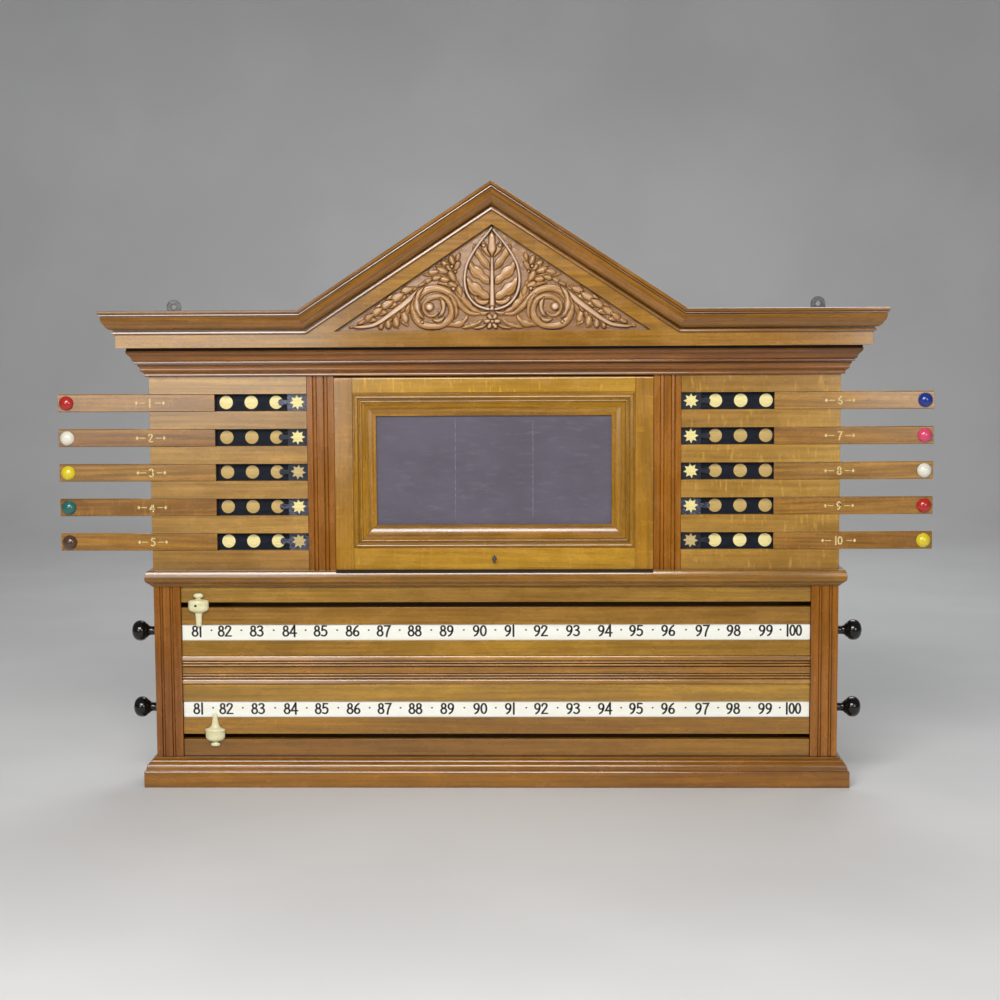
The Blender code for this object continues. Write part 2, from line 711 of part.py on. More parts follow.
def tablet_outline(sign):
    """A square tablet with a neck and a round nib that a finger pushes."""
    half = BAR_HEIGHT / 2 + TABLET_EDGE
    right = TABLET_WIDTH / 2
    nib = NIB_DIAMETER / 2
    nib_start = math.asin(NECK_HEIGHT / NIB_DIAMETER)
    nib_x = right + NECK_LENGTH
    points = [(-right, -half), (right, -half), (right, -NECK_HEIGHT / 2)]
    for step in range(ARC_STEPS * 2 + 1):
        angle = nib_start - math.pi + (math.tau - 2 * nib_start) * step / (ARC_STEPS * 2)
        points.append((nib_x + nib * math.cos(angle), nib * math.sin(angle)))
    points += [(right, NECK_HEIGHT / 2), (right, half), (-right, half)]
    return [(sign * across, up) for across, up in points]


def star_outline():
    outer = STAR_DIAMETER / 2
    points = []
    for i in range(2 * STAR_POINTS):
        radius = outer if i % 2 == 0 else outer * STAR_WAIST_SHARE
        angle = math.pi * i / STAR_POINTS
        points.append((radius * math.cos(angle), radius * math.sin(angle)))
    return points


def make_star_tablets(parts, cutters):
    front = BAR_THICKNESS + LAYER_GAP
    back = front + TABLET_THICKNESS
    middle_x = WINDOW_START_X + GAP + TABLET_WIDTH / 2
    number = 0
    for sign in (-1, 1):
        for height in bar_heights():
            number += 1
            origin = (sign * middle_x, FRONT_Y, height)
            tablet = prism(
                f"star_tablet_{number}", [tablet_outline(sign)], "Y", front, back,
                BLACKENED, parts, origin,
            )
            star = prism(
                f"star_{number}", [star_outline()], "Y", front - STAR_RISE,
                (front + back) / 2, IVORY, cutters, origin,
            )
            combine(tablet, [make_helper(star)], "UNION")
            joint_group(f"star_tablet_{number}_run", origin, [tablet], parts)


def sunk_bead(start, width, depth):
    """A bead between two quirks, level with the face: (along, inward) points."""
    quirk = depth / 2
    points = [(start, 0), (start + quirk / 2, depth)]
    bead = width - quirk * 2
    for step in range(ARC_STEPS + 2):
        angle = math.pi * step / (ARC_STEPS + 1)
        points.append(
            (start + quirk + bead / 2 * (1 - math.cos(angle)), depth * (1 - math.sin(angle)))
        )
    return points + [(start + width - quirk / 2, depth), (start + width, 0)]


def reeded_front(shares, width):
    """Flats and sunk beads in turn across a board's face."""
    points = [(0, 0)]
    start = 0
    for place, share in enumerate(shares):
        if place % 2:
            points += sunk_bead(start, share * width, REED_DEPTH)
        start += share * width
    return points + [(width, 0)]


def make_pilasters(parts, cutters):
    for side_name, sign in (("left", -1), ("right", 1)):
        face = reeded_front(UPPER_REED_SHARES, PILASTER_WIDTH)
        outer = WINDOW_START_X
        outline = [(sign * (outer - across), FRONT_Y + depth) for across, depth in face]
        leg = DOOR_OPENING_X + UPPER_LEG
        outline += [
            (sign * DOOR_OPENING_X, LIFE_BACK_Y),
            (sign * leg, LIFE_BACK_Y),
            (sign * leg, FRONT_Y + UPPER_LAP),
            (sign * outer, FRONT_Y + UPPER_LAP),
        ]
        upper = prism(
            f"upper_pilaster_{side_name}", [outline], "Z", WAIST_TOP, CASE_TOP, OAK, parts
        )
        hole_end = DOOR_OPENING_X + PIVOT_IN_PILASTER + GAP
        low = min(sign * (DOOR_OPENING_X - OVERRUN), sign * hole_end)
        high = max(sign * (DOOR_OPENING_X - OVERRUN), sign * hole_end)
        hole = prism(
            f"pivot_hole_{side_name}",
            [circle((PIVOT_Y, PIVOT_Z), PIVOT_DIAMETER + 2 * GAP, SMALL_STEPS)],
            "X", low, high, OAK, cutters,
        )
        combine(upper, [make_helper(hole)], "DIFFERENCE", "MANIFOLD")

        face = reeded_front(LOWER_REED_SHARES, PILASTER_WIDTH)
        outline = [(sign * (HALF_WIDTH - across), FRONT_Y + depth) for across, depth in face]
        outline += [
            (sign * LOWER_PILASTER_X, FRONT_Y + LOWER_LAP),
            (sign * LOWER_LEG_X, FRONT_Y + LOWER_LAP),
            (sign * LOWER_LEG_X, FRONT_Y + LOWER_LEG_DEPTH),
            (sign * HALF_WIDTH, FRONT_Y + LOWER_LEG_DEPTH),
        ]
        prism(
            f"lower_pilaster_{side_name}", [outline], "Z", PLINTH_TOP, WAIST_BOTTOM, OAK, parts
        )


def make_door(parts, cutters):
    half = DOOR_WIDTH / 2
    sight_x = half - STILE_WIDTH
    sight_top = DOOR_TOP - TOP_RAIL_WIDTH
    sight_foot = DOOR_FOOT + FOOT_RAIL_WIDTH
    slate_face_y = DOOR_FACE_Y + SLATE_SINK
    edge = DOOR_EDGE_RADIUS
    frame = prism(
        "door_frame",
        [
            rectangle(-half, half, DOOR_FOOT, DOOR_TOP),
            rectangle(-sight_x, sight_x, sight_foot, sight_top),
        ],
        "Y", DOOR_FACE_Y, DOOR_FACE_Y + DOOR_THICKNESS, OAK, parts,
    )
    rebate = block(
        "slate_rebate",
        (-sight_x - SLATE_REBATE, slate_face_y - GAP, sight_foot - SLATE_REBATE),
        (sight_x + SLATE_REBATE, DOOR_FACE_Y + DOOR_THICKNESS + OVERRUN,
         sight_top + SLATE_REBATE),
        OAK, cutters,
    )
    # What is cut from the top edge leaves it round, so that it turns under the case's top rail
    corner = [(DOOR_FACE_Y - OVERRUN, DOOR_TOP + OVERRUN), (DOOR_FACE_Y - OVERRUN, DOOR_TOP - edge)]
    for step in range(ARC_STEPS + 1):
        angle = math.pi / 2 * step / ARC_STEPS
        corner.append(
            (DOOR_FACE_Y + edge * (1 - math.cos(angle)), DOOR_TOP - edge * (1 - math.sin(angle)))
        )
    corner.append((DOOR_FACE_Y + edge, DOOR_TOP + OVERRUN))
    rounding = prism(
        "top_edge_rounding", [corner], "X", -half - OVERRUN, half + OVERRUN, OAK, cutters
    )
    pin_hole = circle((PIVOT_Y, PIVOT_Z), PIVOT_DIAMETER + 2 * GAP, SMALL_STEPS)
    holes = []
    for side_name, sign in (("left", -1), ("right", 1)):
        ends = (sign * (half - PIVOT_IN_DOOR - GAP), sign * (half + OVERRUN))
        holes.append(
            make_helper(
                prism(f"door_pin_hole_{side_name}", [pin_hole], "X", min(ends), max(ends),
                      OAK, cutters)
            )
        )
        ends = (
            sign * (half - PIVOT_IN_DOOR),
            sign * (DOOR_OPENING_X + PIVOT_IN_PILASTER),
        )
        prism(
            f"door_pivot_{side_name}",
            [circle((0, 0), PIVOT_DIAMETER, SMALL_STEPS)],
            "X", min(ends), max(ends), BRASS, parts, (0, PIVOT_Y, PIVOT_Z),
        )
    combine(frame, [make_helper(rebate), make_helper(rounding), *holes], "DIFFERENCE")

    section = rounded_line(SLATE_MOULDING_SHARES, MOULDING_WIDTH, SLATE_SINK + MOULDING_PROUD)
    section = [(rise, inward) for inward, rise in section]
    corners = [
        (across, slate_face_y, up)
        for across, up in rectangle(-sight_x, sight_x, sight_foot, sight_top)
    ]
    moulding = mitred_run(
        "slate_moulding", section, corners, [(0, -1, 0)] * 4, OAK, parts, closed=True
    )
    reach = SLATE_REBATE - GAP
    slate = block(
        "slate_panel",
        (-sight_x - reach, slate_face_y, sight_foot - reach),
        (sight_x + reach, slate_face_y + SLATE_THICKNESS, sight_top + reach),
        SLATE_GREY, parts,
    )

    # A small screw eye: ring, shank and plate
    ring = PULL_RING_DIAMETER
    pull_z = DOOR_FOOT + PULL_DROP
    stand = PULL_SHANK + ring / 2
    radius = PULL_WIRE / 2
    plate = PULL_PLATE_DIAMETER / 2
    rows = [(0, PULL_SHANK), (radius, PULL_SHANK), (radius, radius), (plate, radius / 2), (plate, 0),
            (0, 0)]
    pull = turned("door_pull", rows, STEEL, parts, SMALL_STEPS)
    pull.rotation_euler = STANDING["Y"]
    pull.location = (0, DOOR_FACE_Y - GAP, pull_z)
    bpy.ops.mesh.primitive_torus_add(
        major_segments=ROUND_STEPS,
        minor_segments=SMALL_STEPS // 2,
        major_radius=ring / 2,
        minor_radius=radius,
        location=(0, DOOR_FACE_Y - stand, pull_z),
        rotation=(0, math.pi / 2, 0),
    )
    eye = bpy.context.object
    eye.name = "pull_ring"
    for collection in list(eye.users_collection):
        collection.objects.unlink(eye)
    cutters.objects.link(eye)
    combine(pull, [make_helper(eye)], "UNION")
    joint_group(
        "door_axis", (0, PIVOT_Y, PIVOT_Z), [frame, moulding, slate, pull], parts
    )


def make_score_boards(parts, cutters):
    inner = INSIDE_X - GAP
    open_x = LOWER_PILASTER_X + GAP
    lap_y = FRONT_Y + LOWER_LAP + GAP
    lift = STRIP_WIDTH / 2
    reach = math.hypot(ROLLER_APOTHEM + STRIP_THICKNESS, lift) + ROLLER_CLEARANCE
    lip_depth = math.sqrt(reach * reach - WINDOW_HEIGHT * WINDOW_HEIGHT / 4)
    lip_y = ROLLER_Y - lip_depth
    spread = (SCORE_BACK_Y + OVERRUN - lip_y) * lip_depth / (WINDOW_HEIGHT / 2)
    boards = (
        ("score_board_upper", RAIL_TOP + GAP, WAIST_BOTTOM, UPPER_SLOT_Z, UPPER_ROLLER_Z),
        ("score_board_lower", PLINTH_TOP, RAIL_BOTTOM - GAP, LOWER_SLOT_Z, LOWER_ROLLER_Z),
    )
    made = []
    for name, low, high, slot, window in boards:
        board = prism(
            name,
            [
                rectangle(-inner, inner, low, high),
                rectangle(-open_x, open_x, slot - SLOT_HEIGHT / 2, slot + SLOT_HEIGHT / 2),
                rectangle(-open_x, open_x, window - WINDOW_HEIGHT / 2,
                          window + WINDOW_HEIGHT / 2),
            ],
            "Y", SCORE_FACE_Y, SCORE_BACK_Y, OAK, parts,
        )
        half = WINDOW_HEIGHT / 2
        undercut = [
            (lip_y, window - half),
            (lip_y, window + half),
            (SCORE_BACK_Y + OVERRUN, window + half + spread),
            (SCORE_BACK_Y + OVERRUN, window - half - spread),
        ]
        hollow = prism(name + "_undercut", [undercut], "X", -open_x, open_x, OAK, cutters)
        combine(board, [make_helper(hollow)], "DIFFERENCE")
        made.append((board, low, high))

    # The reeded rail between them
    face = FRONT_Y + SCORE_SINK - RAIL_PROUD
    section = [(face + RAIL_THICKNESS, RAIL_BOTTOM), (face + RAIL_THICKNESS, RAIL_TOP)]
    top = RAIL_TOP
    for kind, share in RAIL_BAND_SHARES:
        width = share * RAIL_HEIGHT
        if kind == "bead":
            for step in range(ARC_STEPS + 2):
                angle = math.pi * step / (ARC_STEPS + 1)
                section.append(
                    (
                        face + RAIL_REED_DEPTH * (1 - math.sin(angle)),
                        top - width / 2 * (1 - math.cos(angle)),
                    )
                )
        else:
            depth = RAIL_REED_DEPTH if kind == "sunk" else RAIL_REED_DEPTH / 2
            section.append((face + depth, top - GAP))
            section.append((face + depth, top - width + GAP))
        top -= width
    rail = prism("reeded_rail", [section], "X", -inner, inner, OAK, parts)
    made.append((rail, RAIL_BOTTOM, RAIL_TOP))

    for board, low, high in made:
        laps = []
        for side_name, sign in (("left", -1), ("right", 1)):
            ends = (sign * (LOWER_PILASTER_X - GAP), sign * (inner + OVERRUN))
            lap = block(
                f"{board.name}_lap_{side_name}",
                (min(ends), FRONT_Y - OVERRUN, low - OVERRUN),
                (max(ends), lap_y, high + OVERRUN),
                OAK, cutters,
            )
            laps.append(make_helper(lap))
        combine(board, laps, "DIFFERENCE")


def roller_section():
    """Five flats with a raised strip on each, as (depth, height) about the axis."""
    points = []
    corner = ROLLER_APOTHEM * math.tan(math.pi / ROLLER_FACES)
    raised = ROLLER_APOTHEM + STRIP_THICKNESS
    edge = STRIP_WIDTH / 2
    for face in range(ROLLER_FACES):
        angle = math.tau * face / ROLLER_FACES
        for out, side in (
            (ROLLER_APOTHEM, -corner), (ROLLER_APOTHEM, -edge), (raised, -edge),
            (raised, edge), (ROLLER_APOTHEM, edge),
        ):
            points.append(
                (
                    -out * math.cos(angle) + side * math.sin(angle),
                    out * math.sin(angle) + side * math.cos(angle),
                )
            )
    return points


def knob_profile():
    radius = KNOB_DIAMETER / 2
    outside = rounded_line(KNOB_SHARES, radius, KNOB_LENGTH, SMALL_ARC_STEPS)
    bore = SPINDLE_DIAMETER / 2 + GAP
    deep = SPINDLE_END + GAP
    return [tuple(point) for point in outside] + [(bore, 0), (bore, deep), (0, deep)]


def make_rollers(parts, cutters):
    body = LOWER_PILASTER_X - ROLLER_END_GAP
    knob_x = HALF_WIDTH + KNOB_STANDOFF
    spindle = knob_x + SPINDLE_END
    for level, height in (("upper", UPPER_ROLLER_Z), ("lower", LOWER_ROLLER_Z)):
        origin = (0, ROLLER_Y, height)
        roller = prism(
            f"number_roller_{level}", [roller_section()], "X", -body, body, IVORY, parts, origin
        )
        rod = prism(
            f"spindle_{level}", [circle((0, 0), SPINDLE_DIAMETER, SMALL_STEPS)], "X",
            -spindle, spindle, STEEL, cutters, origin,
        )
        combine(roller, [make_helper(rod)], "UNION")
        members = [roller]
        for side_name, sign in (("left", -1), ("right", 1)):
            knob = turned(f"knob_{level}_{side_name}", knob_profile(), EBONY, parts)
            knob.rotation_euler = (0, sign * math.pi / 2, 0)
            knob.location = (sign * knob_x, ROLLER_Y, height)
            members.append(knob)
        joint_group(f"roller_axis_{level}", origin, members, parts)


def make_pointers(parts, cutters):
    face_y = SCORE_FACE_Y - POINTER_STANDOFF
    half_slot = SLOT_HEIGHT / 2 - SLIDE_GAP
    for name, across, slot, sign, shares, head_share in (
        ("pointer_upper", UPPER_POINTER_X, UPPER_SLOT_Z, 1, UPPER_POINTER_SHARES,
         UPPER_POINTER_HEAD_SHARE),
        ("pointer_lower", LOWER_POINTER_X, LOWER_SLOT_Z, -1, LOWER_POINTER_SHARES,
         LOWER_POINTER_HEAD_SHARE),
    ):
        profile = rounded_line(shares, POINTER_WIDTH / 2, POINTER_LENGTH, SMALL_ARC_STEPS)
        head = POINTER_LENGTH * head_share
        rows = [(radius, head - distance) for radius, distance in profile]
        if sign < 0:
            rows = [(radius, -height) for radius, height in reversed(rows)]
        pointer = turned(name, rows, IVORY, parts, ROUND_STEPS)
        pointer.location = (across, face_y, slot)
        pointer.scale = (1, POINTER_FLATNESS_SHARE, 1)
        behind = block(
            name + "_flat_back",
            (across - POINTER_WIDTH, face_y, slot - POINTER_LENGTH),
            (across + POINTER_WIDTH, face_y + POINTER_WIDTH, slot + POINTER_LENGTH),
            IVORY, cutters,
        )
        neck = block(
            name + "_neck",
            (across - half_slot, face_y - half_slot, slot - half_slot),
            (across + half_slot, SCORE_BACK_Y + LAYER_GAP * 2, slot + half_slot),
            IVORY, cutters,
        )
        slider = block(
            name + "_slider",
            (across - POINTER_SLIDER_WIDTH / 2, SCORE_BACK_Y + LAYER_GAP,
             slot - POINTER_SLIDER_HEIGHT / 2),
            (across + POINTER_SLIDER_WIDTH / 2,
             SCORE_BACK_Y + LAYER_GAP + POINTER_SLIDER_THICKNESS,
             slot + POINTER_SLIDER_HEIGHT / 2),
            IVORY, cutters,
        )
        combine(pointer, [make_helper(behind)], "DIFFERENCE")
        combine(pointer, [make_helper(neck), make_helper(slider)], "UNION")
        joint_group(name + "_run", (across, face_y, slot), [pointer], parts)


def case_path(height):
    """The line round the foot of a moulding on the case: left side, front, right side."""
    return [
        (-HALF_WIDTH, BACK_Y, height),
        (-HALF_WIDTH, FRONT_Y, height),
        (HALF_WIDTH, FRONT_Y, height),
        (HALF_WIDTH, BACK_Y, height),
    ]


def make_mouldings(parts):
    facings = [(-1, 0, 0), (0, -1, 0), (1, 0, 0)]
    for name, shares, projection, low, height in (
        ("plinth_moulding", PLINTH_SHARES, PLINTH_PROJECTION, 0, PLINTH_HEIGHT - GAP),
        ("waist_moulding", WAIST_SHARES, WAIST_PROJECTION, WAIST_BOTTOM, WAIST_HEIGHT),
        ("bed_moulding", BED_SHARES, BED_PROJECTION, CASE_TOP, BED_HEIGHT),
    ):
        section = rounded_line(shares, projection, height)
        mitred_run(name, section, case_path(low), facings, OAK, parts)


def rake(height_above):
    """Corner points of the gable line, a set height above the foot of the crown moulding."""
    valley = VALLEY_HALF_WIDTH + height_above * math.tan(RAKE_ANGLE / 2)
    apex = VALLEY_HALF_WIDTH * math.tan(RAKE_ANGLE) + height_above / math.cos(RAKE_ANGLE)
    return valley, BAND_TOP + height_above, BAND_TOP + apex


def make_pediment(parts, cutters):
    valley, level, apex = rake(CROWN_HEIGHT)
    outline = [
        (-FRIEZE_X, BED_TOP),
        (FRIEZE_X, BED_TOP),
        (FRIEZE_X, level),
        (valley, level),
        (0, apex),
        (-valley, level),
        (-FRIEZE_X, level),
    ]
    frieze_back = FRIEZE_Y + FRIEZE_THICKNESS
    frieze = prism("pediment_board", [outline], "Y", FRIEZE_Y, frieze_back, OAK, parts)
    returns = []
    for side_name, sign in (("left", -1), ("right", 1)):
        ends = (sign * FRIEZE_X, sign * (FRIEZE_X - FRIEZE_THICKNESS))
        board = block(
            f"frieze_return_{side_name}",
            (min(ends), FRIEZE_Y + FRIEZE_THICKNESS / 2, BED_TOP),
            (max(ends), BACK_Y, level),
            OAK, cutters,
        )
        returns.append(make_helper(board))
    combine(frieze, returns, "UNION")

    base = BED_TOP + PANEL_BASE
    slope = math.tan(RAKE_ANGLE)
    tip = rake(-PANEL_BORDER)[2]
    triangle = [(-(tip - base) / slope, base), ((tip - base) / slope, base), (0, tip)]
    recess = prism(
        "panel_recess", [triangle], "Y", FRIEZE_Y - OVERRUN, FRIEZE_Y + PANEL_SINK, OAK, cutters
    )
    combine(frieze, [make_helper(recess)], "DIFFERENCE")

    crown = rounded_line(CROWN_SHARES, CROWN_PROJECTION, CROWN_HEIGHT)
    path_valley, path_level, path_apex = rake(0)
    corners = [
        (-FRIEZE_X, BACK_Y, path_level),
        (-FRIEZE_X, FRIEZE_Y, path_level),
        (-path_valley, FRIEZE_Y, path_level),
        (0, FRIEZE_Y, path_apex),
        (path_valley, FRIEZE_Y, path_level),
        (FRIEZE_X, FRIEZE_Y, path_level),
        (FRIEZE_X, BACK_Y, path_level),
    ]
    facings = [(-1, 0, 0)] + [(0, -1, 0)] * 4 + [(1, 0, 0)]
    mitred_run("crown_moulding", crown, corners, facings, OAK, parts)

    # The carved panel in its recess: inset all round by the same gap
    floor = FRIEZE_Y + PANEL_SINK - GAP
    face = floor - PANEL_THICKNESS
    tip_in = tip - GAP / math.cos(RAKE_ANGLE)
    base_in = base + GAP
    reach = (tip_in - base_in) / slope
    panel = prism(
        "carved_panel", [[(-reach, base_in), (reach, base_in), (0, tip_in)]], "Y", face, floor,
        CARVED_OAK, parts,
    )
    carving = make_carving(base, tip - base, face, cutters)
    combine(panel, carving, "UNION", "MANIFOLD")


def make_carving(base, height, face, cutters):
    """The main forms of the carving: a pointed oval, two scrolls and two fronds."""
    sunk = face + PANEL_THICKNESS / 2
    pieces = []
    rim = LEAF_RIM_SHARE * height
    width = LEAF_HALF_WIDTH_SHARE * height
    tall = LEAF_HEIGHT_SHARE * height
    right = rounded_line(LEAF_SHARES, width, tall)
    inner = rounded_line(LEAF_SHARES, width - rim, tall - LEAF_TIP_RIMS_SHARE * height)
    outlines = []
    for half, lift in ((right, 0), (inner, rim)):
        foot = base + LEAF_RISE_SHARE * height + lift
        loop = [(x, foot + y) for x, y in half]
        loop += [(-x, foot + y) for x, y in reversed(half[1:-1])]
        outlines.append(loop)
    pieces.append(
        prism("leaf_rim", outlines, "Y", face - RELIEF_HEIGHT, sunk, CARVED_OAK, cutters)
    )
    stem = SCROLL_STEM_SHARE * height
    scroll_radius = SCROLL_RADIUS_SHARE * height
    eye_radius = SCROLL_EYE_SHARE * height
    frond = FROND_LENGTH_SHARE * height
    for side_name, sign in (("left", -1), ("right", 1)):
        curve = bpy.data.curves.new(f"scroll_{side_name}", "CURVE")
        curve.dimensions = "3D"
        curve.bevel_depth = stem
        curve.bevel_resolution = 1
        curve.use_fill_caps = True
        count = int(SCROLL_TURNS * DISC_STEPS)
        spline = curve.splines.new("POLY")
        spline.points.add(count)
        for step, point in enumerate(spline.points):
            part = step / count
            angle = SCROLL_START + math.tau * SCROLL_TURNS * part
            radius = scroll_radius - part * (scroll_radius - eye_radius)
            across = sign * (SCROLL_CENTRE_SHARE * height - radius * math.cos(angle))
            up = base + SCROLL_RISE_SHARE * height + radius * math.sin(angle)
            point.co = (across, face - stem / 2, up, 1)
        guide = bpy.data.objects.new(f"scroll_{side_name}_line", curve)
        cutters.objects.link(guide)
        graph = bpy.context.evaluated_depsgraph_get()
        mesh = bpy.data.meshes.new_from_object(guide.evaluated_get(graph))
        bpy.data.objects.remove(guide)
        weld(mesh)
        pieces.append(add(f"scroll_{side_name}", mesh, CARVED_OAK, cutters))

        start = Vector((FROND_START_SHARE * height, base + FROND_RISE_SHARE * height))
        outline = []
        for side in (1, -1):
            rows = FROND_SHARES if side > 0 else tuple(reversed(FROND_SHARES[:-1]))
            for width_share, length_share in rows:
                along_x = length_share * frond
                rise = side * width_share * frond
                outline.append(
                    (
                        sign * (start.x + along_x * math.cos(FROND_TILT) + rise
                                * math.sin(FROND_TILT)),
                        start.y - along_x * math.sin(FROND_TILT) + rise * math.cos(FROND_TILT),
                    )
                )
        pieces.append(
            prism(f"frond_{side_name}", [outline], "Y", face - RELIEF_HEIGHT / 2, sunk,
                  CARVED_OAK, cutters)
        )
    return [make_helper(piece) for piece in pieces]


def make_hanging_plates(parts):
    top = CROWN_TOP + PLATE_RISE
    for name, middle in (("hanging_plate_left", -PLATE_X), ("hanging_plate_right", PLATE_X)):
        radius = PLATE_WIDTH / 2
        outline = [
            (middle - radius, top - PLATE_HEIGHT),
            (middle + radius, top - PLATE_HEIGHT),
        ]
        for step in range(SMALL_STEPS // 2 + 1):
            angle = math.pi * step / (SMALL_STEPS // 2)
            outline.append(
                (middle + radius * math.cos(angle), top - radius + radius * math.sin(angle))
            )
        hole = circle((middle, top - radius), PLATE_HOLE, SMALL_STEPS)
        prism(name, [outline, hole], "Y", BACK_Y - PLATE_THICKNESS, BACK_Y, STEEL, parts)


clear_scene()
PARTS = new_collection("billiard_scoreboard")
CUTTERS = new_collection("cutters")
make_case(PARTS, CUTTERS)
make_life_boards(PARTS, CUTTERS)
make_life_slides(PARTS, CUTTERS)
make_star_tablets(PARTS, CUTTERS)
make_pilasters(PARTS, CUTTERS)
make_door(PARTS, CUTTERS)
make_score_boards(PARTS, CUTTERS)
make_rollers(PARTS, CUTTERS)
make_pointers(PARTS, CUTTERS)
make_mouldings(PARTS)
make_pediment(PARTS, CUTTERS)
make_hanging_plates(PARTS)
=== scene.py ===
import math

import bmesh
import bpy
import numpy as np
from mathutils import Matrix, Vector


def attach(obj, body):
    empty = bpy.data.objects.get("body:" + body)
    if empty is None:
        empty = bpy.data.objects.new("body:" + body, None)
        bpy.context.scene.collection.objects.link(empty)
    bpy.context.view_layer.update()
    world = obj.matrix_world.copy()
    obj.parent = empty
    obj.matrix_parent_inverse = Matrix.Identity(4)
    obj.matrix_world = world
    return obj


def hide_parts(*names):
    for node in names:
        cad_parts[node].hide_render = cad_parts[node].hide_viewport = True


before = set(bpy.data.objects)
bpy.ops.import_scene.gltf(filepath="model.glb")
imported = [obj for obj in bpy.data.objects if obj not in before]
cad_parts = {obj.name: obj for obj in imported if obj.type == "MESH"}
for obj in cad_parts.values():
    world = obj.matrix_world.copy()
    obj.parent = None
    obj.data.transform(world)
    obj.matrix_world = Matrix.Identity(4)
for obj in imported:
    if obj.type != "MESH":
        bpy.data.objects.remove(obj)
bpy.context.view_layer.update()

# ---- View, floor and light ----------------------------------------------------------------
# The board is seen from in front, a little to the right of its middle, through a long lens.
# It stands on a pale paper sheet that curves up far behind it. Soft lamps stand left and right
# of the view, a broad one hangs above it, and a weaker one lights the back.
EYE = Vector((0.0780, -2.8130, 0.7083))
TURN_LEFT = -0.0247
LOOK_DOWN = 0.0988
LEAN = -0.0054
FILM_WIDTH = 36
LENS = 68.4
ahead = Vector((
    math.sin(TURN_LEFT) * math.cos(LOOK_DOWN), math.cos(TURN_LEFT) * math.cos(LOOK_DOWN),
    -math.sin(LOOK_DOWN),
))
aside = Vector((math.cos(TURN_LEFT), -math.sin(TURN_LEFT), 0))
upward = aside.cross(ahead)
level = aside * math.cos(LEAN) + upward * math.sin(LEAN)
upright = upward * math.cos(LEAN) - aside * math.sin(LEAN)
lens = bpy.data.cameras.new("view")
lens.sensor_width = FILM_WIDTH
lens.lens = LENS
viewpoint = bpy.data.objects.new("view", lens)
turned_to = Matrix((level, upright, -ahead)).transposed().to_4x4()
viewpoint.matrix_world = Matrix.Translation(EYE) @ turned_to
bpy.context.scene.collection.objects.link(viewpoint)
bpy.context.scene.camera = viewpoint
bpy.context.scene.view_settings.view_transform = "Standard"


class Finish:
    """A material, and the nodes behind its shader."""

    def __init__(self, name, roughness):
        self.material = bpy.data.materials.new(name)
        self.material.use_nodes = True
        self.tree = self.material.node_tree
        self.shader = self.tree.nodes["Principled BSDF"]
        self.set(Roughness=roughness)

    def set(self, **sockets):
        """Sets sockets of the shader, named with _ where they have a space."""
        for name, value in sockets.items():
            self.fill(self.shader.inputs[name.replace("_", " ")], value)

    def fill(self, socket, value):
        if isinstance(value, bpy.types.NodeSocket):
            self.tree.links.new(value, socket)
        else:
            socket.default_value = value

    def node(self, kind, inputs, output=0, **settings):
        made = self.tree.nodes.new("ShaderNode" + kind)
        for key, value in settings.items():
            setattr(made, key, value)
        for key, value in inputs.items():
            self.fill(made.inputs[key], value)
        return made.outputs[output]

    def place(self):
        """The rest position of each point."""
        return self.node("TexCoord", {}, "Object")

    def vector(self, operation, one, other, output=0):
        return self.node("VectorMath", {0: one, 1: other}, output, operation=operation)

    def noise(self, scale, detail=2.0, roughness=0.5, vector=None):
        """Cloudy values about one half, finer as the scale (one number or three) grows."""
        if not isinstance(scale, tuple):
            scale = (scale, scale, scale)
        spot = self.vector("MULTIPLY", vector or self.place(), scale)
        return self.node(
            "TexNoise", {"Vector": spot, "Scale": 1, "Detail": detail, "Roughness": roughness}
        )

    def ramp(self, value, low, high, to_low=0.0, to_high=1.0):
        limits = {"From Min": low, "From Max": high, "To Min": to_low, "To Max": to_high}
        return self.node(
            "MapRange", {"Value": value, **limits}, interpolation_type="SMOOTHSTEP"
        )

    def patches(self, scale, low, high, detail=4, roughness=0.6, vector=None):
        """Soft patches of one in nothing, where the clouds pass from low to high."""
        return self.ramp(self.noise(scale, detail, roughness, vector), low, high)

    def times(self, one, other):
        return self.node("Math", {0: one, 1: other}, operation="MULTIPLY")

    def mix(self, one, other, share, blend="MIX"):
        return self.node(
            "Mix", {0: share, 6: one, 7: other}, 2, data_type="RGBA", blend_type=blend
        )

    def shaded(self, colour, value, dark, light, low=0.3, high=0.7):
        """A colour made darker or lighter by the value."""
        return self.mix(colour, self.ramp(value, low, high, dark, light), 1.0, "MULTIPLY")

    def relief(self, height, depth, share):
        """Makes the surface rise and sink by the height, by up to the depth in metres."""
        self.set(
            Normal=self.node("Bump", {"Height": height, "Distance": depth, "Strength": share})
        )

    def crevices(self, reach, low, high):
        """One in the open, falling to nothing in narrow places."""
        shadow = self.node("AmbientOcclusion", {"Distance": reach}, "AO", samples=6)
        return self.ramp(shadow, low, high)


def tint(red, green, blue):
    """A colour as it is given, from 0 to 255, as the renderer needs it."""
    return tuple(
        part / 255 / 12.92 if part < 11 else ((part / 255 + 0.055) / 1.055) ** 2.4
        for part in (red, green, blue)
    ) + (1.0,)


def place_in_room(name, data):
    obj = bpy.data.objects.new(name, data)
    bpy.context.scene.collection.objects.link(obj)
    return obj


def show(name, form, *materials):
    """A mesh of (points, faces), with its materials in order."""
    mesh = bpy.data.meshes.new(name)
    mesh.from_pydata([tuple(point) for point in form[0]], [], form[1])
    for material in materials:
        mesh.materials.append(material)
    return place_in_room(name, mesh)


def angles(steps, span):
    """Even angles from nothing to the span, both ends counted."""
    return [span * step / steps for step in range(steps + 1)]


